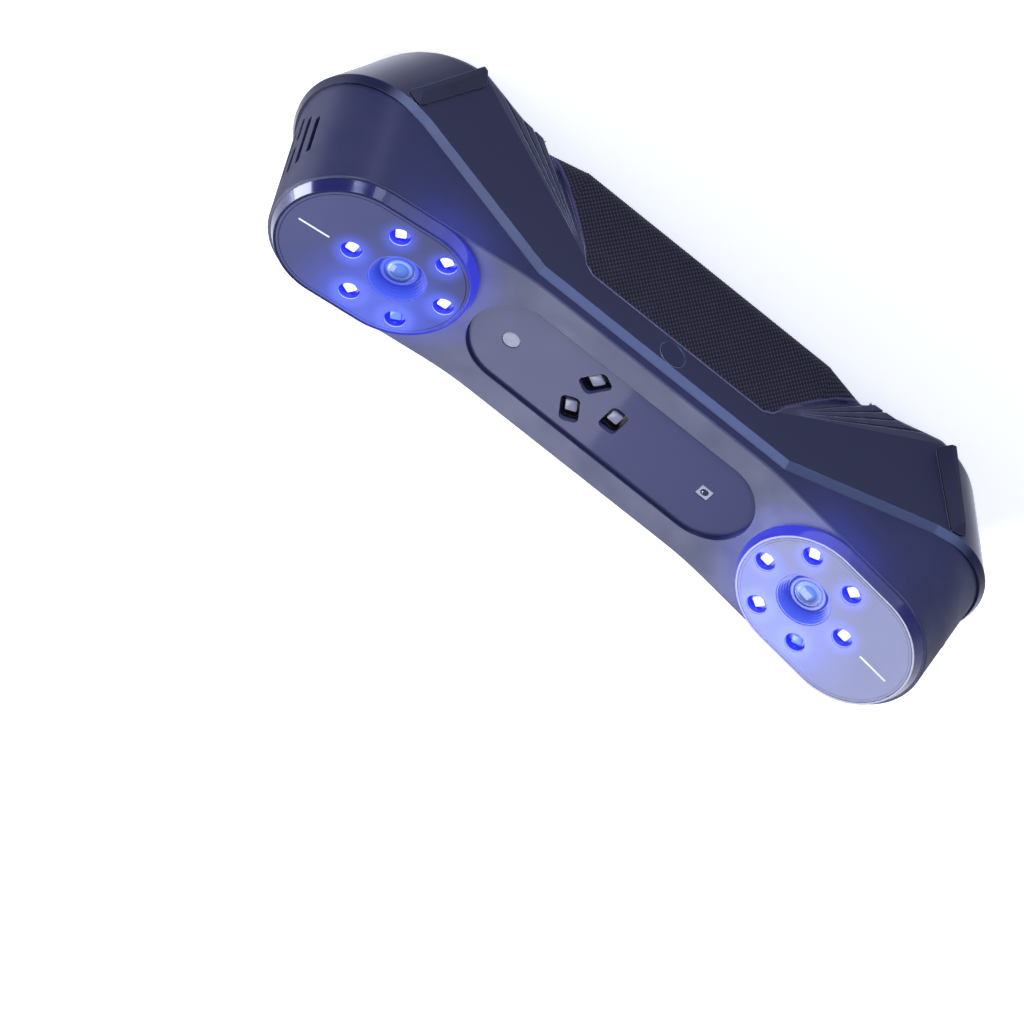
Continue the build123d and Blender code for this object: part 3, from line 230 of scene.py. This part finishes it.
def back_paint():
    """Dark navy satin with a pale sheen seen edge on, a painted light blue highlight along the ledge rim,
    and edges lightened in pale blue, partly rubbed and partly a painted highlight that grows towards the
    top.
    """
    shader = Shader("back_paint")
    height = shader.add("ShaderNodeSeparateXYZ", {0: shader.coords}).outputs[2]
    # Painted edge highlight, stronger higher up the shell; partly rubbed paint.
    wear_and_highlight = shader.remap(height, 0.022, 0.038, 0.2, 0.75, True)
    tint = finish_surface(
        shader, rgb(22, 23, 50), 0.32, 0.07, 3400.0, 0.1, 0.0004, wear_and_highlight, 38.0, rub_and_highlight=(136, 156, 204)
    )
    _, out, up = shader.add("ShaderNodeSeparateXYZ", {0: shader.coords_normal}).outputs
    flank = shader.remap(shader.math("ABSOLUTE", out), 0.4, 0.65, 0.0, 1.0)
    # Painted highlight: the ledge rim, facing half up and half out, is painted a lighter blue where its
    # chamfer would catch the light.
    rim = shader.math("MULTIPLY", shader.band(up, (0.6, 0.68), (0.74, 0.84)), flank)
    tint = shader.mix(shader.math("MULTIPLY", rim, 0.9), tint, rgb(82, 91, 122))
    shader.set(Base_Color=tint, Specular_IOR_Level=0.18, Specular_Tint=BLUE_SHINE)
    shader.set(Sheen_Weight=0.7, Sheen_Roughness=0.3, Sheen_Tint=rgb(236, 236, 248))
    return shader.material


def front_paint():
    """Satin blue grey with highlights drawn out along z, the upward top painted lighter and the walls
    darker as painted light and shade, and a painted glow of the lamps' blue beside the pods.
    """
    shader = Shader("front_paint")
    up = shader.add("ShaderNodeSeparateXYZ", {0: shader.coords_normal}).outputs[2]
    # Painted light and shade: the upward top lighter and more shiny, the walls darker and duller.
    painted_lit_top = shader.remap(up, 0.3, 0.8, 0.0, 1.0, True)
    colour = shader.mix(painted_lit_top, rgb(30, 32, 66), rgb(48, 51, 84))
    finish_surface(shader, colour, 0.47, 0.05, 3800.0, 0.08, 0.0004, 0.16, 30.0)
    shader.set(Metallic=0.1, Specular_IOR_Level=shader.remap(painted_lit_top, 0.0, 1.0, 0.3, 0.82))
    shader.set(Specular_Tint=rgb(220, 226, 250), Anisotropic=0.9)
    # Painted glow: the lamps' blue light painted as emission on the shell round each pod, near its face.
    painted_spill = 0.0
    for side, _ in SIDES:
        x, y, z = shader.local(pod_frame(side))
        away = shader.length(shader.math("ADD", x, 3.0), y)
        near = shader.remap(away, 17.0, 31.0, 1.0, 0.0, True)
        shallow = shader.remap(z, -24.0, -3.0, 0.0, 1.0, True)
        painted_spill = shader.math("ADD", painted_spill, shader.math("MULTIPLY", near, shallow))
    glow = shader.ramp(painted_spill, ((0.0, (0, 0, 0)), (0.5, rgb(16, 18, 62)), (1.0, rgb(34, 42, 136))))
    shader.set(Emission_Color=glow, Emission_Strength=0.75)
    shader.set(Tangent=shader.add("ShaderNodeCombineXYZ", {0: 0.1, 1: 0.0, 2: 1.0}).outputs[0])
    return shader.material


def face_glass(side, name):
    """Glossy pod face with a painted glow of the lamps' light round each lamp and spread round the lens."""
    shader = Shader(f"face_glass_{name}")
    x, y, _ = shader.local(pod_frame(side))
    radius = shader.length(x, y)
    turn = shader.math("PINGPONG", shader.math("ARCTAN2", y, x), math.pi / LED_COUNT)
    away = shader.math("SUBTRACT", shader.math("MULTIPLY", radius, shader.math("COSINE", turn)), LED_RING)
    from_lamp = shader.length(away, shader.math("MULTIPLY", radius, shader.math("SINE", turn)))
    spine = shader.math("MINIMUM", shader.math("MAXIMUM", x, 0.0), FACE_STRETCH)
    from_spine = shader.length(shader.math("SUBTRACT", x, spine), y)
    tint = finish_surface(shader, rgb(78, 82, 124), 0.24, 0.04, 5200.0, 0.02, 0.0002, 0.0, 26.0)
    line = shader.band(from_spine, (FACE_R - 1.62, FACE_R - 1.5), (FACE_R - 1.34, FACE_R - 1.22), True)
    shader.set(Base_Color=shader.mix(shader.math("MULTIPLY", line, 0.8), tint, rgb(20, 20, 44)))
    # Painted glow: emission round each lamp and in a wide patch round the lens, faintly over the whole
    # face.
    painted_halo = shader.remap(from_lamp, 2.4, 6.4, 0.5, 0.0, True)
    spread = shader.length(shader.math("ADD", x, 1.5), shader.math("SUBTRACT", y, 12.0 * side))
    painted_pool = shader.remap(spread, 3.0, 28.0, 0.72, 0.0, True)
    glow = shader.ramp(shader.math("ADD", painted_halo, painted_pool), (
        (0.0, rgb(22, 22, 28)), (0.25, rgb(40, 48, 124)), (0.55, rgb(56, 76, 206)),
        (1.0, rgb(92, 114, 250)),
    ))
    shader.set(Emission_Color=glow, Emission_Strength=0.8, Coat_Weight=0.12, Coat_Roughness=0.05)
    shader.set(Specular_IOR_Level=0.36, Specular_Tint=BLUE_SHINE)
    return shader.material


def bezel_gloss(side, name):
    """Glossy navy bezel with a painted blue reflection of the lamps' light, as emission on the side towards
    the middle.
    """
    shader = Shader(f"bezel_gloss_{name}")
    x, _, _ = shader.local(pod_frame(side))
    finish_surface(shader, rgb(22, 24, 78), 0.16, 0.04, 4200.0, 0.03, 0.0003, 0.1, 40.0)
    # Painted reflection of the lamps' blue, growing towards the middle.
    blue = shader.remap(x, 14.0, -15.0, 0.0, 1.0, True)
    glow = shader.ramp(blue, ((0.0, (0, 0, 0)), (0.6, rgb(30, 34, 150)), (1.0, rgb(58, 66, 225))))
    shader.set(Emission_Color=glow, Emission_Strength=0.8)
    shader.set(Coat_Weight=0.5, Coat_Roughness=0.03, Specular_Tint=BLUE_SHINE)
    return shader.material


def lamp_cup(side, name):
    """Inside of a lamp, its light painted as emission: a painted highlight band at the lip, deep blue
    below.
    """
    shader = Shader(f"lamp_cup_{name}")
    _, _, depth = shader.local(pod_frame(side))
    finish_surface(shader, rgb(30, 34, 190), 0.32, 0.05, 3000.0, 0.04, 0.0001, 0.0, 60.0)
    # Painted lamp light by depth, with a white painted highlight band just under the lip.
    light = shader.ramp(shader.remap(depth, -1.8, -0.06, 0.0, 1.0), (
        (0.0, rgb(16, 24, 150)), (0.3, rgb(24, 36, 186)), (0.6, rgb(40, 62, 222)),
        (0.78, rgb(84, 112, 246)), (0.86, rgb(206, 218, 255)), (0.93, rgb(236, 242, 255)),
        (0.97, rgb(60, 76, 214)),
    ))
    shader.set(Emission_Color=light, Emission_Strength=1.0)
    return shader.material


def lamp_light(side, name):
    """Lit chips of a ring of lamps, white with a blue edge. One of them is dim."""
    shader = Shader(f"lamp_light_{name}")
    x, y, _ = shader.local(pod_frame(side))
    dim_x, dim_y = (LED_RING * f(math.radians(30 + 90 * side)) for f in (math.cos, math.sin))
    away = shader.length(shader.math("SUBTRACT", x, dim_x), shader.math("SUBTRACT", y, dim_y))
    spot = shader.remap(shader.noise(700.0, 1.0), 0.35, 0.6, 0.86, 1.0)
    light = shader.ramp(shader.math("MULTIPLY", spot, shader.remap(away, 3.0, 4.0, 0.3, 1.0)), (
        (0.0, rgb(40, 60, 200)), (0.3, rgb(96, 128, 240)), (0.8, rgb(216, 226, 255)),
        (1.0, rgb(252, 253, 255)),
    ))
    shader.set(Base_Color=rgb(60, 70, 140), Roughness=0.3, Emission_Color=light, Emission_Strength=1.3)
    return shader.material


def lens_coating_and_glow(side, name):
    """Front element of a lens, its inner rings seen through a pale blue coating, with a painted reflection
    brighter to one side and the same colour painted as a glow.
    """
    shader = Shader(f"lens_coating_and_glow_{name}")
    x, y, _ = shader.local(pod_frame(side))
    rings = shader.ramp(shader.remap(shader.length(x, y), 0.0, 3.9, 0.0, 1.0), (
        (0.0, rgb(112, 150, 222)), (0.14, rgb(106, 144, 220)), (0.22, rgb(98, 134, 216)),
        (0.32, rgb(104, 140, 218)), (0.48, rgb(98, 130, 214)), (0.56, rgb(88, 116, 206)),
        (0.63, rgb(116, 148, 224)), (0.7, rgb(150, 178, 234)), (0.79, rgb(142, 170, 232)),
        (0.85, rgb(84, 108, 208)), (0.92, rgb(90, 114, 214)), (1.0, rgb(60, 82, 204)),
    ))
    # Painted reflection: the rings lighter towards one side; the result is also painted as emission.
    toward = shader.math("MULTIPLY_ADD", x, 0.58 * side, shader.math("MULTIPLY", y, -0.82 * side))
    sky = shader.remap(toward, -3.4, 3.2, 0.42, 1.2, True)
    blue = shader.math("MULTIPLY_ADD", sky, 0.9, 0.1)
    sky = shader.add("ShaderNodeCombineXYZ", {0: sky, 1: sky, 2: blue}).outputs[0]
    rings_painted_light = shader.mix(1.0, rings, sky, "MULTIPLY")
    shader.set(Base_Color=rings_painted_light, Roughness=shader.remap(shader.noise(300.0), 0.3, 0.7, 0.04, 0.08))
    shader.set(Emission_Color=rings_painted_light, Emission_Strength=0.28, Coat_Weight=0.2, Coat_Roughness=0.2)
    shader.set(Specular_IOR_Level=0.2)
    return shader.material


def baffle_blue_glow(side, name):
    """Stepped lens shade: dark satin, with the lamps' blue painted on as a glow in rings."""
    shader = Shader(f"baffle_blue_glow_{name}")
    x, y, _ = shader.local(pod_frame(side))
    finish_surface(shader, rgb(52, 62, 140), 0.34, 0.05, 4200.0, 0.05, 0.00008, 0.0, 60.0)
    # Painted lamp light: blue emission ringed by the distance from the lens axis.
    light = shader.ramp(shader.remap(shader.length(x, y), 3.8, 7.4, 0.0, 1.0), (
        (0.0, rgb(84, 104, 226)), (0.3, rgb(66, 88, 208)), (0.4, rgb(36, 50, 166)),
        (0.65, rgb(54, 76, 206)), (1.0, rgb(78, 102, 232)),
    ))
    shader.set(Emission_Color=light, Emission_Strength=0.8)
    return shader.material


def rubber_skin():
    """Dark rubber with painted shade down in the dimples of the grip skin, and the ridges painted lighter
    as a painted highlight.
    """
    shader = Shader("rubber_skin")
    painted_dimple_shade = shader.add("ShaderNodeAttribute", attribute_name="dimple").outputs["Fac"]
    # Painted shade in the dimples and painted highlight on the ridges, by how deep each point sits.
    colour = shader.mix(shader.remap(painted_dimple_shade, 0.0, 0.35, 0.0, 1.0, True), rgb(56, 53, 92), rgb(4, 4, 16))
    finish_surface(shader, colour, 0.46, 0.1, 4800.0, 0.12, 0.00005, 0.0, 55.0)
    shader.set(Specular_IOR_Level=0.18)
    return shader.material


def circuit(name, colour):
    """Solder mask with the shimmer of tracks and a sprinkle of plated holes."""
    shader = Shader(name)
    tint = finish_surface(shader, rgb(*colour), 0.36, 0.08, 2600.0, 0.06, 0.0002, 0.0, 60.0)
    cells = shader.add(
        "ShaderNodeTexVoronoi", {"Vector": shader.coords, "Scale": 420.0}
    ).outputs["Distance"]
    hole = shader.remap(cells, 0.12, 0.16, 1.0, 0.0, True)
    tracks = shader.add(
        "ShaderNodeTexBrick",
        {
            "Vector": shader.coords, "Scale": 260.0, "Mortar Size": 0.08,
            "Color1": (0, 0, 0), "Color2": (0, 0, 0), "Mortar": (1, 1, 1),
        },
    ).outputs["Fac"]
    tint = shader.mix(shader.math("MULTIPLY", tracks, 0.18), tint, rgb(150, 190, 150))
    shader.set(Base_Color=shader.mix(hole, tint, rgb(206, 178, 110)), Coat_Weight=0.4)
    return shader.material


def mesh_screen():
    """Woven vent mesh behind the slots."""
    shader = Shader("mesh_screen")
    tint = finish_surface(shader, rgb(24, 24, 40), 0.5, 0.06, 3000.0, 0.1, 0.0002, 0.0, 50.0)
    cells = shader.add(
        "ShaderNodeTexVoronoi", {"Vector": shader.coords, "Scale": 900.0, "Randomness": 0.1}
    ).outputs["Distance"]
    shader.set(Base_Color=shader.mix(shader.remap(cells, 0.25, 0.4, 0.85, 0.0, True), tint, rgb(4, 4, 8)))
    return shader.material


back_shell = back_paint()
front_shell = front_paint()
skin = rubber_skin()
pad_rubber = plain(
    "pad_rubber", (16, 17, 38), 0.4, vary=0.08, grain=2400.0, bump=0.16, wear_and_highlight=0.06,
    Specular_IOR_Level=0.35, Specular_Tint=BLUE_SHINE,
)
panel_gloss = plain(
    "panel_gloss", (66, 68, 104), 0.32, vary=0.03, grain=5200.0, bump=0.02, bevel=0.0001, wear_and_highlight=0.0,
    Specular_IOR_Level=0.12, Coat_Weight=0.1, Coat_Roughness=0.03, Specular_Tint=BLUE_SHINE,
)
# Strong edge lightening: a painted highlight round the button's rim.
button_gloss = plain(
    "button_gloss", (22, 23, 50), 0.32, bump=0.06, bevel=0.00025, wear_and_highlight=0.9,
    Specular_IOR_Level=0.18, Specular_Tint=BLUE_SHINE,
)
step_black = plain("step_black", (14, 14, 26), 0.34, bump=0.06, bevel=0.0001, wear_and_highlight=0.0)
black_moulding = plain("black_moulding", (26, 27, 34), 0.5)
bench_metal = plain("bench_metal", (150, 153, 162), 0.36, metal=0.9, vary=0.05, grain=1500.0, wear_and_highlight=0.2)
sink_metal = plain("sink_metal", (60, 62, 74), 0.42, metal=0.8, vary=0.05, wear_and_highlight=0.3)
barrel_metal = plain("barrel_metal", (168, 176, 214), 0.26, metal=0.7, vary=0.05, bevel=0.0001, wear_and_highlight=0.25)
steel = plain("steel", (120, 122, 130), 0.3, metal=1.0, vary=0.06, wear_and_highlight=0.3)
brass = plain("brass", (190, 158, 96), 0.3, metal=1.0, vary=0.06, wear_and_highlight=0.2)
silver = plain(
    "silver", (136, 139, 162), 0.32, vary=0.16, bevel=0.00008, wear_and_highlight=0.0, blotch=160.0,
    Specular_IOR_Level=0.4,
)
milky = plain(
    "milky", (112, 116, 148), 0.24, vary=0.3, bump=0.02, wear_and_highlight=0.0, blotch=420.0,
    Specular_IOR_Level=0.2, Coat_Weight=0.15, Coat_Roughness=0.06,
)
eye_square = plain(
    "eye_square", (164, 166, 186), 0.32, bump=0.03, bevel=0.00008, wear_and_highlight=0.0, Specular_IOR_Level=0.2
)
eye_glass = plain(
    "eye_glass", (40, 46, 78), 0.08, vary=0.1, bump=0.02, bevel=0.00005, wear_and_highlight=0.0, Coat_Weight=1.0
)
chip_black = plain("chip_black", (30, 31, 34), 0.48, vary=0.08)
thermal_grey = plain("thermal_grey", (130, 140, 150), 0.7, vary=0.08)
amber_film = plain("amber_film", (150, 92, 34), 0.34, vary=0.08, Coat_Weight=0.4)
mark_white = plain("mark_white", (240, 242, 250), 0.45, vary=0.02, bump=0.0, bevel=0.00002, wear_and_highlight=0.0)
board_green = circuit("board_green", (22, 66, 52))
board_dark = circuit("board_dark", (24, 28, 46))

FINISH = {
    "back_shell": back_shell, "front_shell": front_shell, "grip_sleeve": skin, "pad": pad_rubber,
    "centre_window": panel_gloss, "emitter_block": step_black, "laser_modules": brass,
    "laser_lenses": silver, "emitter_screws": steel, "panel_board": board_dark,
    "round_sensor": milky, "colour_camera": eye_square, "colour_camera_lens": eye_glass,
    "optical_bench": bench_metal, "main_board": board_green, "board_spacers": brass,
    "board_screws": steel, "processor": chip_black, "board_chips": chip_black,
    "thermal_pad": thermal_grey, "heat_sink": sink_metal, "socket_board": board_green,
    "socket_screws": steel, "cable_socket": steel, "vent_screen": mesh_screen(),
    "round_button": button_gloss, "button_switch": black_moulding, "button_board": board_dark,
    "housing_screws": steel, "lens_barrel": barrel_metal, "lens_holder": black_moulding,
    "image_sensor": chip_black, "camera_board": board_green, "camera_screws": steel,
    "lamp_board": board_dark, "lamps": mark_white, "lamp_lenses": milky,
    "camera_ribbon": amber_film, "lens_glass": milky,
}
for side, name in SIDES:
    FINISH[f"bezel_{name}"] = bezel_gloss(side, name)
    FINISH[f"pod_window_{name}"] = face_glass(side, name)
    FINISH[f"lens_baffle_{name}"] = FINISH[f"lens_barrel_{name}"] = baffle_blue_glow(side, name)


def finish_for(node):
    """The material written for a node, or for the longest start of its name."""
    return FINISH[max((key for key in FINISH if node.startswith(key)), key=len)]


for name, node in nodes.items():
    node.data.materials.clear()
    node.data.materials.append(finish_for(name))


# ---------------------------------------------------------------- mesh helpers
class Shape:
    """Points and faces of one piece, in millimetres."""

    def __init__(self, matrix=Matrix.Identity(4)):
        self.matrix, self.points, self.faces = matrix, [], []

    def revolve(self, profile, centre=(0.0, 0.0), segments=48):
        """Turn a closed profile of (radius, height) about a line along local z."""
        rings = []
        for radius, height in profile:
            start = len(self.points)
            count = segments if radius > 0 else 1
            for n in range(count):
                turn = 2 * math.pi * n / segments
                x, y = centre[0] + radius * math.cos(turn), centre[1] + radius * math.sin(turn)
                self.points.append((x, y, height))
            rings.append([start + n % count for n in range(segments)])
        for low, high in zip(rings, rings[1:] + rings[:1]):
            for n in range(segments):
                m = (n + 1) % segments
                corners = list(dict.fromkeys((low[n], low[m], high[m], high[n])))
                if len(corners) > 2:
                    self.faces.append(corners)
        return self

    def slab(self, outline, low, high, edge):
        """A closed outline drawn up from low to high, its top edge rounded in two small steps."""
        middle = np.mean(outline, axis=0)
        levels = ((0.0, low), (0.0, high - edge), (0.3 * edge, high - 0.3 * edge), (edge, high))
        rings = []
        for shrink, height in levels:
            ring = []
            for point in outline:
                away = np.array(point) - middle
                place = middle + away * (1 - shrink / np.linalg.norm(away))
                ring.append(len(self.points))
                self.points.append((place[0], place[1], height))
            rings.append(ring)
        for a, b in zip(rings, rings[1:]):
            for n in range(len(outline)):
                m = (n + 1) % len(outline)
                self.faces.append((a[n], a[m], b[m], b[n]))
        self.faces.append(rings[-1])
        self.faces.append(rings[0][::-1])
        return self

    def piece(self, name, material, slot, body="housing", replaces=()):
        """Make the piece, and say what it rides on and what it replaces. The slot is not used."""
        mesh = bpy.data.meshes.new(name)
        points = [tuple((self.matrix @ Vector(p)) * MM) for p in self.points]
        mesh.from_pydata(points, [], self.faces)
        work = bmesh.new()
        work.from_mesh(mesh)
        bmesh.ops.recalc_face_normals(work, faces=work.faces)
        work.to_mesh(mesh)
        work.free()
        mesh.materials.append(material)
        mesh.shade_smooth()
        mesh.set_sharp_from_angle(angle=math.radians(38))
        obj = bpy.data.objects.new(name, mesh)
        scene.collection.objects.link(obj)
        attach(obj, body)
        if replaces:
            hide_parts(*replaces)


def rounded_box(half_x, half_y, corner, centre=(0.0, 0.0), turn=0.0, steps=5):
    """Outline of a rectangle with rounded corners, turned about its centre."""
    outline = []
    for sx, sy, start in ((1, 1, 0), (-1, 1, 90), (-1, -1, 180), (1, -1, 270)):
        for n in range(steps + 1):
            angle = math.radians(start + 90 * n / steps)
            x = sx * (half_x - corner) + corner * math.cos(angle)
            y = sy * (half_y - corner) + corner * math.sin(angle)
            outline.append((
                centre[0] + x * math.cos(turn) - y * math.sin(turn),
                centre[1] + x * math.sin(turn) + y * math.cos(turn),
            ))
    return outline


# ---------------------------------------------------------------- lamps, lenses and marks of the pods
CUP_PROFILE = (
    (0.0, -1.75), (2.0, -1.75), (2.4, -1.66), (2.6, -1.4), (2.66, -1.0), (2.67, -0.5), (2.67, -0.12),
    (2.69, -0.06), (2.72, -0.06), (2.72, -3.0), (0.0, -3.0),
)
crown = [
    (radius, LENS_CROWN - (LENS_DOME - math.sqrt(LENS_DOME**2 - radius**2)))
    for radius in (0.0, 0.6, 1.2, 1.8, 2.4, 2.95)
]
crown_edge = crown[-1][1]
lens_profile = (
    *crown, (3.0, crown_edge - 0.14), (3.12, crown_edge - 0.14), (3.18, crown_edge + 0.02), (3.5, -3.1),
    (3.56, -3.2), (3.66, -3.2), (3.72, -3.02), (3.88, -3.0), (3.88, -4.9), (0.0, -4.9),
)
for side, name in SIDES:
    pod = pod_frame(side)
    cups, chips = Shape(pod), Shape(pod)
    for turn in np.arange(LED_COUNT) * 2 * math.pi / LED_COUNT:
        lamp = (LED_RING * math.cos(turn), LED_RING * math.sin(turn))
        cups.revolve(CUP_PROFILE, lamp)
        chips.slab(rounded_box(CHIP_HALF, CHIP_HALF, CHIP_ROUND, lamp, turn), CHIP_BACK, CHIP_FRONT, 0.2)
    cups.piece(f"lamp_cups_{name}", lamp_cup(side, name), "lamp_lenses", replaces=(f"lamp_lenses_{name}",))
    chips.piece(f"lamp_chips_{name}", lamp_light(side, name), "lamps", replaces=(f"lamps_{name}",))

    glass = Shape(pod).revolve(lens_profile, segments=64)
    glass.piece(f"lens_front_{name}", lens_coating_and_glow(side, name), "optics", replaces=(f"lens_glass_{name}",))

    mark = rounded_box(MARK_HALF_LENGTH, MARK_HALF_WIDTH, 0.2, (MARK_X, 0.0))
    Shape(pod).slab(mark, -0.02, 0.06, 0.015).piece(f"mark_{name}", mark_white, "bezels")


# ---------------------------------------------------------------- projector windows
windows = Shape()
for x, y, lie in PROJECTORS:
    outline = rounded_box(1.8, 1.62, 0.45, (x, y), math.radians(lie))
    windows.slab(outline, PROJECTOR_BACK, PROJECTOR_FRONT, 0.4)
windows.piece("projector_windows", silver, "laser_optics", replaces=("laser_lenses",))


# ---------------------------------------------------------------- grip skin
BACK_RUN = GRIP_HALF_WIDTH - GRIP_ROUND
CORNER_RUN = GRIP_ROUND * math.pi / 2


def edge_height(x):
    """Height of the sleeve's upper edge at a place along the grip."""
    places, heights = zip(*GRIP_EDGE)
    return np.interp(np.abs(x), places, heights) - SEAM


def grip_rise(x):
    """How much the grip's back has risen at x, and how much its rounded corner is drawn out there."""
    rise = np.maximum(np.abs(x) - GRIP_FLAT, 0.0) * GRIP_SLOPE
    return rise, np.where(rise > 0, math.sqrt(1 + GRIP_SLOPE**2), 1.0)


def grip_limit(x):
    """Run round the grip from the middle of its back to the sleeve's upper edge."""
    rise, stretch = grip_rise(x)
    height = edge_height(x) - GRIP_BACK - rise
    corner = GRIP_ROUND * stretch
    on_flank = BACK_RUN + CORNER_RUN + height - corner
    on_corner = BACK_RUN + GRIP_ROUND * np.arccos(np.clip(1 - height / corner, -1, 1))
    return np.where(on_flank < BACK_RUN + CORNER_RUN, on_corner, on_flank)


def grip_section(x, run):
    """Point on the grip at x, that run round from the middle of its back, and which way is out."""
    side = np.sign(run)
    run = np.abs(run)
    rise, stretch = grip_rise(x)
    turn = np.clip((run - BACK_RUN) / GRIP_ROUND, 0.0, math.pi / 2)
    up = np.maximum(run - BACK_RUN - CORNER_RUN, 0.0)
    y = np.minimum(run, BACK_RUN) + GRIP_ROUND * np.sin(turn)
    z = GRIP_BACK + rise + GRIP_ROUND * stretch * (1 - np.cos(turn)) + up
    return side * y, z, side * np.sin(turn), -np.cos(turn)


def dimples(x, run, inside):
    """Depth as a share of the full one: two crossed sets of ovals that fade towards the edge."""
    share = np.zeros_like(x)
    for shift in (0.0, 0.5):
        u = (x / DIMPLE_PITCH[0] + shift + 0.5) % 1.0 - 0.5
        v = (run / DIMPLE_PITCH[1] + shift + 0.5) % 1.0 - 0.5
        share = np.maximum(share, 1 - (u / DIMPLE_HALF[0]) ** 2 - (v / DIMPLE_HALF[1]) ** 2)
    return np.clip(share, 0, 1) ** DIMPLE_FORM * np.clip((inside - SKIN_EDGE) / SKIN_EDGE, 0, 1)


def grip_skin():
    """Rubber sleeve: a fine grid over the grip, sunk into rows of small oval dimples."""
    step_x, step_run = (pitch / cells for pitch, cells in zip(DIMPLE_PITCH, DIMPLE_CELLS))
    end = GRIP_END - SEAM
    reach = math.floor(end / step_x)
    columns = np.concatenate(([-end], np.arange(-reach, reach + 1) * step_x, [end]))
    top = BACK_RUN + CORNER_RUN + GRIP_EDGE[0][1] - GRIP_BACK - GRIP_ROUND
    count = math.ceil(top / step_run)
    x, run = np.meshgrid(columns, np.arange(-count, count + 1) * step_run, indexing="ij")
    limit = grip_limit(x)
    kept = np.clip(run, -limit, limit)
    y, z, out_y, out_z = grip_section(x, kept)
    inside = np.minimum(limit - np.abs(kept), end - np.abs(x))
    dimple = dimples(x, kept, inside)
    sink = DIMPLE_DEPTH * dimple + SKIN_EDGE_DROP * (1 - np.clip(inside / SKIN_EDGE, 0, 1)) ** 2
    points = np.stack([x, y - out_y * sink, z - out_z * sink], axis=-1)
    rows, cols = x.shape
    index = np.arange(rows * cols).reshape(rows, cols)
    quads = np.stack([index[:-1, :-1], index[1:, :-1], index[1:, 1:], index[:-1, 1:]], axis=-1)
    outside = np.abs(run) > limit + 1e-9   # more than a rounding error
    gone = outside[:-1, :-1] & outside[1:, :-1] & outside[1:, 1:] & outside[:-1, 1:]
    mesh = bpy.data.meshes.new("grip_skin")
    mesh.from_pydata((points.reshape(-1, 3) * MM).tolist(), [], quads[~gone].tolist())
    depths = mesh.attributes.new("dimple", "FLOAT", "POINT").data
    depths.foreach_set("value", dimple.astype(np.float32).ravel())
    work = bmesh.new()
    work.from_mesh(mesh)
    bmesh.ops.remove_doubles(work, verts=work.verts, dist=2e-7)
    loose = [v for v in work.verts if not v.link_faces]
    bmesh.ops.delete(work, geom=loose, context="VERTS")
    work.normal_update()
    rim = [e for e in work.edges if e.is_boundary]
    grown = bmesh.ops.extrude_edge_only(work, edges=rim)
    for vert in (g for g in grown["geom"] if isinstance(g, bmesh.types.BMVert)):
        x_mm, y_mm, z_mm = (c / MM for c in vert.co)
        if z_mm > GRIP_BACK + grip_rise(x_mm)[0] + SKIN_CORNER:
            inward = Vector((0.0, -math.copysign(1.0, y_mm), 0.0))
        else:
            inward = Vector((0.0, 0.0, 1.0))
        vert.co += inward * SKIN_THICKNESS * MM
    bmesh.ops.recalc_face_normals(work, faces=work.faces)
    work.to_mesh(mesh)
    work.free()
    mesh.materials.append(skin)
    mesh.shade_smooth()
    mesh.set_sharp_from_angle(angle=math.radians(60))
    obj = bpy.data.objects.new("grip_skin", mesh)
    scene.collection.objects.link(obj)
    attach(obj, "housing")
    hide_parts("grip_sleeve")


grip_skin()

# ---------------------------------------------------------------- floor and light
pale = Shader("floor")
tone = pale.ramp(pale.noise(3.0), ((0.3, rgb(246, 246, 248)), (0.7, rgb(250, 250, 252))))
pale.set(Base_Color=tone, Roughness=0.9, Specular_IOR_Level=0.1)
path = pale.add("ShaderNodeLightPath").outputs
mirrored = pale.math("MAXIMUM", path["Is Glossy Ray"], path["Is Transmission Ray"])
seen = pale.math("MAXIMUM", path["Is Camera Ray"], pale.math("MULTIPLY", mirrored, 0.6))
pale.set(Emission_Color=(1.0, 1.0, 1.0), Emission_Strength=pale.math("MULTIPLY", seen, 0.48))
floor_mesh = bpy.data.meshes.new("floor")
floor_mesh.from_pydata(
    [(x * FLOOR_HALF, y * FLOOR_HALF, FLOOR_Z) for x, y in ((-1, -1), (1, -1), (1, 1), (-1, 1))],
    [], [(0, 1, 2, 3)],
)
floor_mesh.materials.append(pale.material)
floor_object = bpy.data.objects.new("floor", floor_mesh)
scene.collection.objects.link(floor_object)

world = bpy.data.worlds.new("studio")
world.use_nodes = True
scene.world = world
sky = world.node_tree.nodes["Background"]
sky.inputs["Color"].default_value = (*rgb(236, 238, 250), 1.0)
sky.inputs["Strength"].default_value = 0.25


def softbox(name, place, target, width, height, power, colour=(1.0, 1.0, 1.0)):
    """A rectangular light at a place, turned to its target. Metres and watts."""
    light = bpy.data.lights.new(name, "AREA")
    light.shape, light.size, light.size_y = "RECTANGLE", width, height
    light.energy, light.color = power, colour
    obj = bpy.data.objects.new(name, light)
    scene.collection.objects.link(obj)
    obj.location = place
    obj.rotation_euler = (Vector(target) - Vector(place)).to_track_quat("-Z", "Y").to_euler()


softbox("key_behind", (0.09, 0.86, 0.98), (0.09, 0.0, 0.05), 0.64, 0.5, 12.0)
softbox("front_right", (0.56, -0.96, 0.42), (0.08, 0.0, 0.03), 0.26, 0.5, 8.0)
softbox("ledge_front", (-0.31, -0.96, 0.79), (0.0, 0.0, 0.05), 0.5, 0.2, 6.0, rgb(190, 210, 255))
softbox("low_front", (-0.1, -1.2, 0.14), (0.0, 0.0, 0.04), 0.7, 0.2, 1.6)
softbox("side_right", (0.96, 0.24, 0.14), (0.09, 0.0, 0.03), 0.6, 0.26, 7.0)
softbox("side_left", (-1.2, -0.3, 0.5), (-0.09, 0.0, 0.03), 0.4, 0.8, 0.8)
